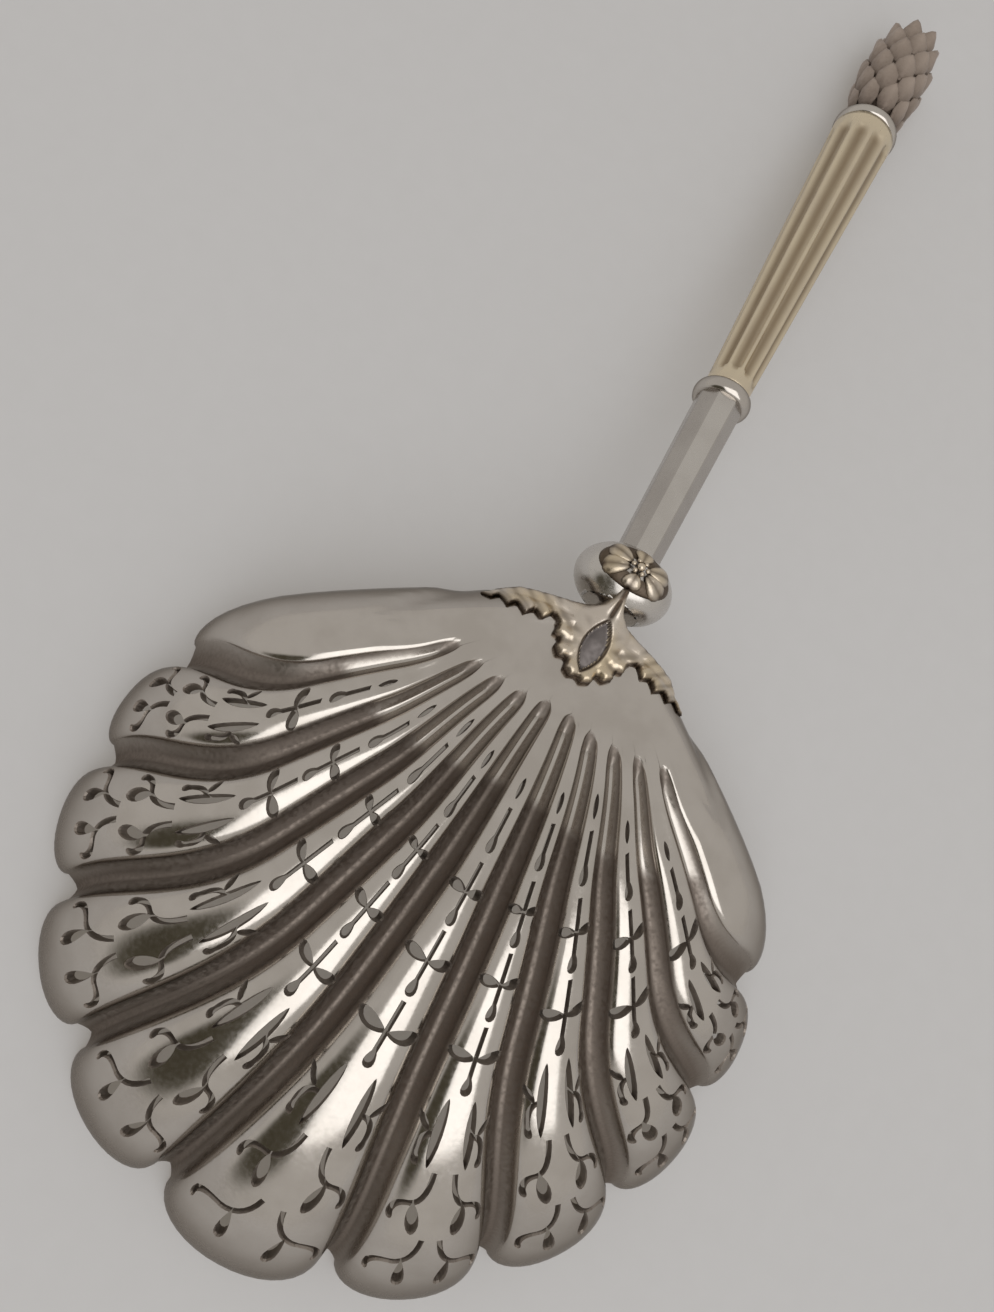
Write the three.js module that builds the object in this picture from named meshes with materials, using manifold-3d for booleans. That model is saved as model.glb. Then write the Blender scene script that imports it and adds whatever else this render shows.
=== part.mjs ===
// Sugar sifter spoon with a pierced scallop bowl, lying face down on its rim and its finial.
// Millimetres and degrees. +Z is up and +Y runs from the tip of the bowl to the finial.
import * as THREE from 'three';
import { mergeGeometries, mergeVertices } from 'three/addons/utils/BufferGeometryUtils.js';
import Module from 'manifold-3d';

const wasm = await Module();
wasm.setup();

// Gap that every soldered or threaded piece keeps to its neighbour.
const FIT = 0.3;

// Bowl, measured from its heel, the point under the leaf where the grooves would meet.
const SHEET = 0.9;
const BOWL_RADIUS = 32;
const HEEL_SET_IN = 3.4;
const HEEL_TO_BOWL_CENTRE = BOWL_RADIUS - HEEL_SET_IN;
const HEEL_HEIGHT = 13.4;
const BACK_SWELL = 7;
const SHOULDER_RISE = 7.5;
const RIM_FLAT = 8;
const SHOULDER_ANGLE = 53.7;
const SHOULDER_OFFSET = 5.55;
const HINGE_ANGLE = 83.5;
const GROOVE_ANGLES = [7.9, 21.1, 33.6, 45.3, 56.3];
const GROOVE_WIDTH = 2;
const GROOVE_HEAD_MIDDLE = 7.8;
const GROOVE_HEAD_SIDE = 11.8;
const LOBE_FULLNESS = 0.19;
const SPLAY = 0.24;
const SPLAY_HEAD = [0.1, 0.42];
const SPLAY_RIM = [0.6, 1];

// Pierced pattern of a lobe. It runs in bands, given as shares of the way from the heel to the rim:
// a drop, one to three crosses, long leaves and two rows of sprigs.
const PATTERN_BANDS = [0.3, 0.385, 0.475, 0.575, 0.675, 0.77, 0.868, 0.965];
const CROSS_COUNTS = [3, 3, 2, 2, 1];
const LEAF_ROWS = 1;
const SPRIG_ROWS = 2;

// Handle, from the knop to the finial.
const KNOP_TO_HEEL = 5.3;
const KNOP_HEIGHT = 12.6;
const KNOP_RADIUS = 4.8;
const KNOP_DEPTH = 7.8;
const KNOP_HALF_LENGTH = 3.5;
const KNOP_END_RADIUS = 2.6;
const STEM_LENGTH = 18.5;
const STEM_FLATS_AT_KNOP = 4.1;
const STEM_FLATS_AT_RING = 4.6;
const TANG_RADIUS = 1.2;
const TANG_LAP = 3.4;
const RING_RADIUS = 3;
const RING_LENGTH = 1.7;
const HANDLE_LENGTH = 38;
const HANDLE_FOOT_RADIUS = 2.3;
const HANDLE_HEAD_RADIUS = 3.45;
const FLUTES = 10;
const FLUTE_DEPTH = 0.4;
const FLUTE_STOP = 1.6;
const COLLAR_RADIUS = 3.6;
const COLLAR_LENGTH = 1.4;
const FINIAL_LENGTH = 15.6;
const FINIAL_RADIUS = 3.5;
const FINIAL_NECK_LENGTH = 1.2;
const FINIAL_NECK_RADIUS = 2.1;
const FINIAL_TIERS = 6;
const SCALES_PER_TIER = 8;
const SCALE_LIFT = 0.5;
const SOCKET_DEPTH = 6;

// Cast gilt mounts: the leaf over the heel of the bowl and the flower on the knop.
const LEAF_THICKNESS = 0.9;
const ARM_REACH = 11.3;
const ARM_WIDTH = 2.5;
const ARM_TEETH = 3;
const TOOTH = 0.6;
const TOOTHED_SHARE = 0.6;
const ARM_TIP_SHARE = 0.2;
const TONGUE_WIDTH = 7.6;
const TONGUE_REACH = 5.2;
const TONGUE_THICKNESS = 3.2;
const TONGUE_SCALLOPS = 5;
const TONGUE_NOTCH = 0.08;
const NECK_WIDTH = 1.5;
const ALMOND_LENGTH = 4.4;
const ALMOND_WIDTH = 2.3;
const ALMOND_DEPTH = 0.5;
const ALMOND_TO_HEEL = 1.7;
const FLOWER_THICKNESS = 0.6;
const FLOWER_WIDTH = 7.7;
const FLOWER_LENGTH = 4.4;
const FLOWER_SET_BACK = 0.3;
const PETALS = 9;
const PETAL_SCALLOP = 0.07;

// Shape of the bowl's back: how flat it stays and how round it turns down at the rim.
const DOME_FLATNESS = 3;
const DOME_EDGE = 0.6;
const CORNER_SHARPNESS = 8;
const GROWTH = 0.5;

// Shape of the finial's bud: where along it the belly lies, and how fast it rounds off.
const FINIAL_BELLY = 0.45;
const BUD_FOOT = 0.2;
const BUD_TIP = 0.88;
const BUD_FULLNESS = 0.6;

// Shares of the way to the rim at which the bowl's mesh has rows outside the pattern.
const HEAD_ROWS = [0, 0.1, 0.17, 0.235];
const RIM_ROWS = [0.985, 1];

const rad = THREE.MathUtils.degToRad;
const deg = THREE.MathUtils.radToDeg;
const lastGroove = GROOVE_ANGLES.at(-1);

const silver = new THREE.MeshStandardMaterial({ color: 0xbdb8b0, metalness: 1, roughness: 0.22 });
const gilt = new THREE.MeshStandardMaterial({ color: 0xc4af7c, metalness: 1, roughness: 0.35 });
const dullGilt = new THREE.MeshStandardMaterial({ color: 0x8c7a5c, metalness: 0.9, roughness: 0.5 });

// Merges shared points, drops collapsed triangles and turns the faces outwards.
function weld(geometry) {
  const bare = geometry.clone();
  bare.deleteAttribute('normal');
  bare.deleteAttribute('uv');
  const merged = mergeVertices(bare, 1e-5);
  const point = (i) => new THREE.Vector3().fromBufferAttribute(merged.attributes.position, i);
  const corners = Array.from(merged.index.array);
  const triangles = [];
  let volume = 0;
  for (let i = 0; i < corners.length; i += 3) {
    const [a, b, c] = corners.slice(i, i + 3);
    if (a === b || b === c || c === a) continue;
    triangles.push([a, b, c]);
    volume += point(a).dot(point(b).cross(point(c)));
  }
  if (volume < 0) triangles.forEach((triangle) => triangle.reverse());
  merged.setIndex(triangles.flat());
  return merged;
}

function solidOf(geometry) {
  const welded = weld(geometry);
  const vertProperties = new Float32Array(welded.attributes.position.array);
  const triVerts = new Uint32Array(welded.index.array);
  return new wasm.Manifold(new wasm.Mesh({ numProp: 3, vertProperties, triVerts }));
}

function geometryOf(solid) {
  const mesh = solid.getMesh();
  const geometry = new THREE.BufferGeometry();
  geometry.setAttribute('position', new THREE.BufferAttribute(new Float32Array(mesh.vertProperties), 3));
  geometry.setIndex(Array.from(mesh.triVerts));
  return weld(geometry);
}

// Straight prism over a flat outline.
function upright(outline, height) {
  return new THREE.ExtrudeGeometry(outline, { depth: height, bevelEnabled: false, curveSegments: 6 });
}

function piece(name, geometry, material) {
  const mesh = new THREE.Mesh(weld(geometry), material);
  mesh.name = name;
  return mesh;
}

// Joins rows of points, each as long as the next, with two triangles to every gap.
function stitch(rows) {
  const width = rows[0].length;
  const corners = [];
  for (let j = 0; j + 1 < rows.length; j += 1) {
    for (let i = 0; i + 1 < width; i += 1) {
      const [a, b, c, d] = [j * width + i, (j + 1) * width + i, (j + 1) * width + i + 1, j * width + i + 1];
      corners.push(a, b, c, a, c, d);
    }
  }
  const geometry = new THREE.BufferGeometry().setFromPoints(rows.flat());
  geometry.setIndex(corners);
  return geometry;
}

// Plan distance from the heel to the rim: a circle, cut by the straight side of the shoulder.
function rimReach(angle) {
  const a = rad(Math.abs(angle));
  const toCentre = HEEL_TO_BOWL_CENTRE * Math.cos(a);
  const circle = toCentre + Math.sqrt(toCentre ** 2 + BOWL_RADIUS ** 2 - HEEL_TO_BOWL_CENTRE ** 2);
  if (Math.abs(angle) <= SHOULDER_ANGLE) return circle;
  const straight = SHOULDER_OFFSET / Math.sin(a - rad(SHOULDER_ANGLE));
  return (circle ** -CORNER_SHARPNESS + straight ** -CORNER_SHARPNESS) ** (-1 / CORNER_SHARPNESS);
}

// The rim lies flat at the tip of the bowl and rises towards the shoulders.
function rimHeight(angle) {
  const flatEnd = RIM_FLAT - HEEL_TO_BOWL_CENTRE - BOWL_RADIUS;
  const shoulder = -rimReach(HINGE_ANGLE) * Math.cos(rad(HINGE_ANGLE));
  const y = -rimReach(angle) * Math.cos(rad(angle));
  return SHOULDER_RISE * (Math.max(y - flatEnd, 0) / (shoulder - flatEnd)) ** 2;
}

// A point on the plain back of the bowl; t runs from the heel, 0, to the rim, 1.
function backPoint(angle, t) {
  const reach = rimReach(angle) * t;
  const rim = rimHeight(angle);
  const crown = HEEL_HEIGHT + BACK_SWELL * Math.cos(rad(angle)) * (1 - (1 - t) ** 3);
  const fall = (1 - t ** DOME_FLATNESS) ** DOME_EDGE;
  return new THREE.Vector3(
    Math.sin(rad(angle)) * reach,
    -Math.cos(rad(angle)) * reach,
    rim + (crown - rim) * fall,
  );
}

// Lobes run closer together over the middle of the bowl and splay out again to their angles at the rim.
function splayed(angle, t) {
  const { smoothstep, lerp } = THREE.MathUtils;
  const share = angle / HINGE_ANGLE;
  const gathered = (1 - SPLAY) * angle + SPLAY * HINGE_ANGLE * share ** 3;
  return lerp(angle, gathered, smoothstep(t, ...SPLAY_HEAD) * (1 - smoothstep(t, ...SPLAY_RIM)));
}

// Outward direction of a surface of points: upright at the heel and level at the rim.
function outward(surface, angle, t) {
  if (t <= 0) return new THREE.Vector3(0, 0, 1);
  const [turn, step] = [0.05, 0.001];
  const inside = Math.min(t, 1 - step);
  const along = surface(angle, inside + step).sub(surface(angle, inside - step));
  const across = surface(angle + turn, inside).sub(surface(angle - turn, inside));
  const direction = along.cross(across);
  if (t >= 1) direction.z = 0;
  return direction.normalize();
}

// How far the lobe at this angle stands proud of the bowl's back, between its two grooves.
function lobeSwell(angle, t) {
  const a = Math.abs(angle);
  const index = GROOVE_ANGLES.findIndex((groove) => a <= groove);
  const high = index < 0 ? 2 * lastGroove - GROOVE_ANGLES.at(-2) : GROOVE_ANGLES[index];
  const low = index < 0 ? lastGroove : GROOVE_ANGLES[index - 1] ?? -high;
  const half = (high - low) / 2;
  const middle = (high + low) / 2;
  const offCrest = index < 0 ? Math.max(middle - a, 0) / half : Math.abs(a - middle) / half;
  const reach = rimReach(angle);
  const head = THREE.MathUtils.lerp(GROOVE_HEAD_MIDDLE, GROOVE_HEAD_SIDE, Math.min(a / lastGroove, 1));
  if (t * reach <= head) return 0;
  const growth = ((t * reach - head) / (reach - head)) ** GROWTH;
  const flank = 1 - (GROOVE_WIDTH / 2) * growth / (rad(half) * t * reach);
  if (offCrest >= flank) return 0;
  return LOBE_FULLNESS * 2 * rad(half) * reach * growth * Math.sqrt(1 - (offCrest / flank) ** 2);
}

function shellPoint(angle, t) {
  const turned = splayed(angle, t);
  return backPoint(turned, t).addScaledVector(outward(backPoint, turned, t), lobeSwell(angle, t));
}

// Angles of the mesh columns: both feet and the crest of every lobe, and steps between them.
function lobeColumns() {
  const columns = new Set();
  const crestSteps = [0, 0.5, 0.86, 1];
  GROOVE_ANGLES.forEach((high, index) => {
    const low = GROOVE_ANGLES[index - 1] ?? -high;
    const half = (high - low) / 2;
    const flank = 1 - GROOVE_WIDTH / 2 / (rad(half) * rimReach(high));
    for (const step of crestSteps) {
      columns.add((high + low) / 2 + half * flank * step);
      columns.add((high + low) / 2 - half * flank * step);
    }
    columns.add(high);
  });
  const rollSteps = [0.06, 0.13, 0.24, 0.38, 0.56, 0.78, 1];
  rollSteps.forEach((step) => columns.add(lastGroove + (HINGE_ANGLE - lastGroove) * step));
  return [...columns].filter((a) => a > 1e-6).sort((a, b) => a - b);
}

function mirrored(angles) {
  return [...angles.map((a) => -a).reverse(), 0, ...angles];
}

// Outlines of the piercings in one band of a lobe. x runs across, in widths of the lobe, and y
// inwards, from 0 at the rim's side of the band to 1 at the heel's side.
function crossOutline() {
  const right = [
    [0.022, 0.95], [0.022, 0.58], [0.16, 0.64], [0.29, 0.53], [0.16, 0.42],
    [0.022, 0.48], [0.022, 0.26], [0.07, 0.15], [0.03, 0.05],
  ];
  return [...right, ...right.map(([x, y]) => [-x, y]).reverse()];
}

function dropOutline() {
  const right = [[0.02, 0.95], [0.02, 0.4], [0.085, 0.24], [0.04, 0.08]];
  return [...right, ...right.map(([x, y]) => [-x, y]).reverse()];
}

function longLeafOutline() {
  return [[0.15, 0.05], [0.2, 0.5], [0.14, 0.95], [0.1, 0.5]];
}

function sprigOutline() {
  return [
    [0.07, 0.95], [0.03, 0.95], [0.08, 0.6], [0.05, 0.27], [0.1, 0.06],
    [0.15, 0.27], [0.13, 0.46], [0.28, 0.34], [0.28, 0.46], [0.14, 0.6],
  ];
}

function withMirror(outline) {
  return [outline, outline.map(([x, y]) => [-x, y]).reverse()];
}

// Piercings of each band of a lobe, from the heel outwards.
function lobeMotifs(crosses) {
  const plain = PATTERN_BANDS.length - 2 - crosses - LEAF_ROWS - SPRIG_ROWS;
  return [
    ...Array(plain).fill([]),
    [dropOutline()],
    ...Array(crosses).fill([crossOutline()]),
    ...Array(LEAF_ROWS).fill(withMirror(longLeafOutline())),
    ...Array(SPRIG_ROWS).fill(withMirror(sprigOutline())),
  ];
}

// Places on the bowl are pairs of t and angle, in which triangles run anticlockwise seen from outside.
function turnsLeft(places) {
  const area = places.reduce((sum, [t, angle], i) => {
    const [nextT, nextAngle] = places[(i + 1) % places.length];
    return sum + t * nextAngle - nextT * angle;
  }, 0);
  return area > 0;
}

// Triangles over the middle of a lobe, round the piercings of one band.
function piercedCell(border, holes) {
  const flat = (places) => places.map(([t, angle]) => new THREE.Vector2(t * deg(1), angle));
  const corners = [border, ...holes].flat();
  const faces = THREE.ShapeUtils.triangulateShape(flat(border), holes.map(flat));
  return faces.map((face) => face.map((i) => corners[i]));
}

// Lobes that carry piercings, each with the motifs of its bands.
function piercedLobes() {
  return GROOVE_ANGLES.flatMap((high, index) => {
    const low = GROOVE_ANGLES[index - 1] ?? -high;
    const motifs = lobeMotifs(CROSS_COUNTS[index]);
    const lobe = { low, high, motifs };
    return index === 0 ? [lobe] : [lobe, { low: -high, high: -low, motifs }];
  });
}

// Piercings of one band of a lobe, from its heel's side to its rim's side, as loops of places.
function bandHoles(lobe, outlines, near, far) {
  const middle = (lobe.low + lobe.high) / 2;
  const width = lobe.high - lobe.low;
  return outlines.map((outline) => outline.map(([x, y]) => [far + (near - far) * y, middle + width * x]));
}

// The fluted and pierced bowl: two skins a sheet apart, walled in at the rim, the hinge and the holes.
function shellBowl() {
  const columns = mirrored(lobeColumns());
  const rows = [...HEAD_ROWS, ...PATTERN_BANDS, ...RIM_ROWS];
  const lobes = piercedLobes();
  const faces = [];
  const holes = [];
  const addFace = (face) => faces.push(turnsLeft(face) ? face : face.toReversed());
  for (let j = 0; j + 1 < rows.length; j += 1) {
    const [near, far] = [rows[j], rows[j + 1]];
    for (let i = 0; i + 1 < columns.length; i += 1) {
      const [left, right] = [columns[i], columns[i + 1]];
      const lobe = lobes.find(({ low, high }) => left >= low && right <= high);
      const outlines = lobe?.motifs[j - HEAD_ROWS.length] ?? [];
      const crest = columns.filter((angle) => outlines.length > 0 && angle > lobe.low && angle < lobe.high);
      const pierced = crest.slice(1, -1);
      if (pierced.includes(left) && pierced.includes(right)) {
        if (left !== pierced[0]) continue;
        const cut = bandHoles(lobe, outlines, near, far);
        const farSide = pierced.map((angle) => [far, angle]).reverse();
        piercedCell([...pierced.map((angle) => [near, angle]), ...farSide], cut).forEach(addFace);
        holes.push(...cut.map((loop) => (turnsLeft(loop) ? loop : loop.toReversed())));
      } else {
        addFace([[near, left], [far, left], [far, right]]);
        addFace([[near, left], [far, right], [near, right]]);
      }
    }
  }
  const rim = columns.map((angle) => [1, angle]).reverse();
  const leftHinge = rows.map((t) => [t, columns[0]]).reverse();
  const rightHinge = rows.map((t) => [t, columns.at(-1)]);
  return skinned(faces, [rim, leftHinge, rightHinge, ...holes.map((loop) => [...loop, loop[0]])]);
}

// Closed geometry from faces on the bowl's back and the lines where walls join its two skins.
function skinned(faces, walls) {
  const outer = ([t, angle]) => shellPoint(angle, t);
  const inner = ([t, angle]) => shellPoint(angle, t).addScaledVector(outward(shellPoint, angle, t), -SHEET);
  const points = faces.flatMap((face) => [...face.map(outer), ...face.toReversed().map(inner)]);
  for (const line of walls) {
    for (let k = 0; k + 1 < line.length; k += 1) {
      const [a, b] = [line[k], line[k + 1]];
      points.push(outer(a), outer(b), inner(b), outer(a), inner(b), inner(a));
    }
  }
  return new THREE.BufferGeometry().setFromPoints(points);
}

// A ring of points round the handle's axis.
function ringOf(count, y, radiusAt) {
  return Array.from({ length: count + 1 }, (_, k) => {
    const turn = 2 * Math.PI * (k % count) / count;
    const radius = radiusAt(turn);
    return new THREE.Vector3(radius * Math.sin(turn), y, radius * Math.cos(turn));
  });
}

// Solid through rings of points, closed by a point on the axis at either end.
function ringSolid(rings) {
  const cap = (ring) => ring.map((point) => new THREE.Vector3(0, point.y, 0));
  return stitch([cap(rings[0]), ...rings, cap(rings.at(-1))]);
}

// Where each piece of the handle starts and ends along its axis, from the middle of the knop.
const knopEnd = KNOP_HALF_LENGTH * Math.sqrt(1 - (KNOP_END_RADIUS / KNOP_RADIUS) ** 2);
const stemStart = knopEnd + FIT;
const stemEnd = stemStart + STEM_LENGTH;
const ringStart = stemEnd + FIT;
const ringEnd = ringStart + RING_LENGTH;
const handleStart = ringEnd + FIT;
const handleEnd = handleStart + HANDLE_LENGTH;
const collarStart = handleEnd + FIT;
const collarEnd = collarStart + COLLAR_LENGTH;
const finialStart = collarEnd + FIT;
const boreRadius = TANG_RADIUS + FIT;

// The handle slopes down until the belly of the finial meets the table.
const budStart = finialStart + FINIAL_NECK_LENGTH;
const budLength = FINIAL_LENGTH - FINIAL_NECK_LENGTH;
const bellyAt = budStart + FINIAL_BELLY * budLength;
const finialReach = FINIAL_RADIUS + SCALE_LIFT;
const slope = Math.asin(KNOP_HEIGHT / Math.hypot(bellyAt, finialReach)) - Math.atan2(finialReach, bellyAt);

// Bun-shaped body of the knop, wider than deep and grown all round by a lift.
function knopBody(lift) {
  const steps = 10;
  const limit = Math.acos(KNOP_END_RADIUS / KNOP_RADIUS);
  const [radius, half] = [KNOP_RADIUS + lift, KNOP_HALF_LENGTH + lift];
  const arc = Array.from({ length: steps + 1 }, (_, i) => {
    const turn = limit * (2 * i / steps - 1);
    return new THREE.Vector2(radius * Math.cos(turn), half * Math.sin(turn));
  });
  const profile = [new THREE.Vector2(0, arc[0].y), ...arc, new THREE.Vector2(0, arc.at(-1).y)];
  const body = new THREE.LatheGeometry(profile, 32);
  body.scale(1, 1, (KNOP_DEPTH / 2 + lift) / radius);
  return solidOf(body);
}

function knop() {
  const bore = new THREE.CylinderGeometry(boreRadius, boreRadius, 4 * KNOP_HALF_LENGTH, 24);
  return geometryOf(knopBody(0).subtract(solidOf(bore)));
}

// A bead turned to a half-round edge, with a bore for the tang.
function bead(radius, length, start) {
  const crown = length / 2;
  const middle = start + crown;
  const steps = 5;
  const arc = Array.from({ length: steps + 1 }, (_, i) => {
    const turn = Math.PI * (i / steps - 0.5);
    return new THREE.Vector2(radius - crown * (1 - Math.cos(turn)), middle + crown * Math.sin(turn));
  });
  const foot = new THREE.Vector2(boreRadius, start);
  const head = new THREE.Vector2(boreRadius, start + length);
  return new THREE.LatheGeometry([foot, ...arc, head, foot.clone()], 28);
}

// Faceted stem, drawn down at both ends to a round tang.
function stemRings(lift) {
  const sides = 16;
  const round = (y) => ringOf(sides, y, () => TANG_RADIUS + lift);
  const octagon = (y, flats) => ringOf(sides, y, (turn) => {
    const offFlat = turn - Math.round(turn / (Math.PI / 4)) * (Math.PI / 4);
    return (flats / 2 + lift) / Math.cos(offFlat);
  });
  return [
    round(-KNOP_TO_HEEL - TANG_LAP - lift),
    round(stemStart),
    octagon(stemStart, STEM_FLATS_AT_KNOP),
    octagon(stemEnd, STEM_FLATS_AT_RING),
    round(stemEnd),
    round(finialStart + SOCKET_DEPTH - FIT + lift),
  ];
}

// Tapering handle with flutes that stop short of both ends, bored for the tang.
function flutedHandle() {
  const sides = 4 * FLUTES;
  const outer = (along, cut) => ringOf(sides, handleStart + along, (turn) => {
    const radius = THREE.MathUtils.lerp(HANDLE_FOOT_RADIUS, HANDLE_HEAD_RADIUS, along / HANDLE_LENGTH);
    return radius - FLUTE_DEPTH * cut * Math.abs(Math.sin(turn * FLUTES / 2));
  });
  const bore = (y) => ringOf(sides, y, () => boreRadius);
  const stops = [[0, 0], [FLUTE_STOP, 0], [1.4 * FLUTE_STOP, 0.8], [2 * FLUTE_STOP, 1]];
  const foot = stops.map(([along, cut]) => outer(along, cut));
  const head = stops.toReversed().map(([along, cut]) => outer(HANDLE_LENGTH - along, cut));
  return stitch([bore(handleStart), ...foot, ...head, bore(handleEnd), bore(handleStart)]);
}

// Radius of the bud at a share of its length.
function budRadius(share) {
  return FINIAL_RADIUS * Math.sin(Math.PI * THREE.MathUtils.lerp(BUD_FOOT, BUD_TIP, share)) ** BUD_FULLNESS;
}

// Pine cone on a short neck: a bud with staggered tiers of scales, and a socket for the tang.
function finial() {
  const sides = 4 * SCALES_PER_TIER;
  const scaleShare = 0.8;
  const rings = [
    ringOf(sides, finialStart + SOCKET_DEPTH, () => boreRadius),
    ringOf(sides, finialStart, () => boreRadius),
    ringOf(sides, finialStart, () => FINIAL_NECK_RADIUS),
    ringOf(sides, budStart, () => FINIAL_NECK_RADIUS),
  ];
  for (let tier = 0; tier < FINIAL_TIERS; tier += 1) {
    const root = tier / FINIAL_TIERS;
    const tip = (tier + scaleShare) / FINIAL_TIERS;
    const shift = (tier % 2) * Math.PI;
    const lift = (turn) => SCALE_LIFT * (0.5 + 0.5 * Math.cos(turn * SCALES_PER_TIER + shift));
    rings.push(ringOf(sides, budStart + root * budLength, () => budRadius(root)));
    rings.push(ringOf(sides, budStart + tip * budLength, (turn) => budRadius(tip) + lift(turn)));
  }
  rings.push(ringOf(sides, finialStart + FINIAL_LENGTH, () => budRadius(1) / 2));
  return ringSolid(rings);
}

// Oval flower of rounded petals, dished to the upper face of the knop.
function flowerMedallion() {
  const outline = Array.from({ length: 6 * PETALS }, (_, i) => {
    const turn = 2 * Math.PI * i / (6 * PETALS);
    const swell = 1 - PETAL_SCALLOP + PETAL_SCALLOP * Math.cos(turn * PETALS);
    return new THREE.Vector2(
      swell * FLOWER_WIDTH / 2 * Math.cos(turn),
      FLOWER_SET_BACK + swell * FLOWER_LENGTH / 2 * Math.sin(turn),
    );
  });
  const prism = solidOf(upright(new THREE.Shape(outline), 2 * KNOP_RADIUS));
  return geometryOf(knopBody(FIT + FLOWER_THICKNESS).intersect(prism).subtract(knopBody(FIT)));
}

// Pieces on the handle's axis hang in a group that stands at the knop and slopes to the finial.
const handle = new THREE.Group();
handle.position.set(0, KNOP_TO_HEEL, KNOP_HEIGHT);
handle.rotation.x = -slope;
handle.updateMatrix();
const ontoTable = (geometry) => weld(geometry).applyMatrix4(handle.matrix);
const ontoHandle = (geometry) => geometry.clone().applyMatrix4(handle.matrix.clone().invert());

// Block under the back of the bowl near its heel, raised until it stands a lift above the surface.
function heelBlock(lift) {
  const columns = mirrored([10, 20, 30, 40, 50, 60, 70, HINGE_ANGLE]);
  const tops = [0, 0.08, 0.16, 0.26, 0.38, 0.5, 0.65, 0.8, 0.9, 0.96].map((t) => columns.map((angle) => {
    const point = backPoint(angle, t);
    point.z += lift / outward(backPoint, angle, t).z;
    return point;
  }));
  const floor = tops.map((row) => row.map((point) => new THREE.Vector3(point.x, point.y, 0)));
  const ends = [0, columns.length - 1].map((i) => {
    const strip = [tops.map((row) => row[i]), floor.map((row) => row[i])];
    return stitch(i === 0 ? strip : strip.reverse());
  });
  const round = stitch([...tops, ...floor.toReversed(), tops[0]]);
  return solidOf(mergeGeometries([round, ...ends].map((skin) => skin.toNonIndexed())));
}

function stem() {
  const rod = solidOf(ontoTable(ringSolid(stemRings(0))));
  return ontoHandle(geometryOf(rod.subtract(heelBlock(FIT))));
}

// Outline of the leaf in plan: a neck on the knop, toothed arms along the shoulders, a scalloped tongue.
function leafOutline() {
  const neckEnd = KNOP_TO_HEEL + FLOWER_SET_BACK - FLOWER_LENGTH / 2 - FIT;
  const armDrop = (share) => -Math.cos(rad(HINGE_ANGLE)) * ARM_REACH * share;
  const right = [
    [NECK_WIDTH / 2, neckEnd],
    [NECK_WIDTH / 2, KNOP_TO_HEEL / 2],
    [NECK_WIDTH, KNOP_TO_HEEL / 4],
    [ARM_REACH / 3, armDrop(1 / 3) + FIT],
    [ARM_REACH, armDrop(1)],
  ];
  for (let tooth = 0; tooth < ARM_TEETH; tooth += 1) {
    const out = 1 - TOOTHED_SHARE * (tooth + 0.5) / ARM_TEETH;
    const width = ARM_WIDTH * (ARM_TIP_SHARE + 1 - out);
    right.push([ARM_REACH * out, armDrop(out) - width - TOOTH]);
    right.push([ARM_REACH * out - TOOTH, armDrop(out) - width]);
  }
  const steps = 6 * TONGUE_SCALLOPS;
  for (let i = 1; i < steps / 2; i += 1) {
    const turn = Math.PI * i / steps;
    const swell = 1 - TONGUE_NOTCH + TONGUE_NOTCH * Math.abs(Math.sin(turn * TONGUE_SCALLOPS));
    right.push([swell * Math.cos(turn) * TONGUE_WIDTH / 2, -swell * Math.sin(turn) * TONGUE_REACH]);
  }
  const left = right.map(([x, y]) => [-x, y]).reverse();
  return new THREE.Shape([...right, ...left].map(([x, y]) => new THREE.Vector2(x, y)));
}

// Pointed oval of the recess in the leaf.
function almondOutline() {
  const shape = new THREE.Shape();
  shape.moveTo(0, -ALMOND_LENGTH / 2);
  shape.quadraticCurveTo(ALMOND_WIDTH, 0, 0, ALMOND_LENGTH / 2);
  shape.quadraticCurveTo(-ALMOND_WIDTH, 0, 0, -ALMOND_LENGTH / 2);
  return shape;
}

// Cast leaf that lies over the heel of the bowl, bridges the tang and climbs onto the knop.
function leafMount() {
  const ridge = HEEL_HEIGHT + TANG_RADIUS + FIT;
  const climb = Math.atan2(KNOP_DEPTH / 4, KNOP_TO_HEEL + TANG_LAP);
  const place = (geometry) => {
    geometry.rotateX(climb);
    geometry.translate(0, 0, ridge);
    return solidOf(geometry);
  };
  const swell = new THREE.SphereGeometry(1, 24, 14);
  swell.scale(TONGUE_WIDTH / 2, KNOP_TO_HEEL, TONGUE_THICKNESS / 2);
  const recess = upright(almondOutline(), TONGUE_THICKNESS);
  recess.translate(0, -ALMOND_TO_HEEL, TONGUE_THICKNESS / 2 - ALMOND_DEPTH);
  const knopAt = (lift) => solidOf(ontoTable(geometryOf(knopBody(lift))));
  const overKnop = knopAt(FIT + LEAF_THICKNESS).trimByPlane([0, 0, 1], KNOP_HEIGHT + TANG_RADIUS);
  const leaf = heelBlock(FIT + LEAF_THICKNESS).add(place(swell)).add(overKnop)
    .intersect(solidOf(upright(leafOutline(), 2 * HEEL_HEIGHT)))
    .subtract(place(recess))
    .subtract(knopAt(FIT))
    .subtract(solidOf(ontoTable(ringSolid(stemRings(FIT)))))
    .subtract(heelBlock(FIT))
    .subtract(heelBlock(FIT).translate([0, FIT, 0]));
  return geometryOf(leaf);
}

handle.add(
  piece('knop', knop(), silver),
  piece('flower_medallion', flowerMedallion(), gilt),
  piece('stem', stem(), silver),
  piece('stem_ring', bead(RING_RADIUS, RING_LENGTH, ringStart), silver),
  piece('fluted_handle', flutedHandle(), gilt),
  piece('finial_collar', bead(COLLAR_RADIUS, COLLAR_LENGTH, collarStart), silver),
  piece('finial', finial(), dullGilt),
);

const spoon = new THREE.Group();
spoon.add(piece('shell_bowl', shellBowl(), silver), piece('leaf_mount', leafMount(), gilt), handle);

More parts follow.
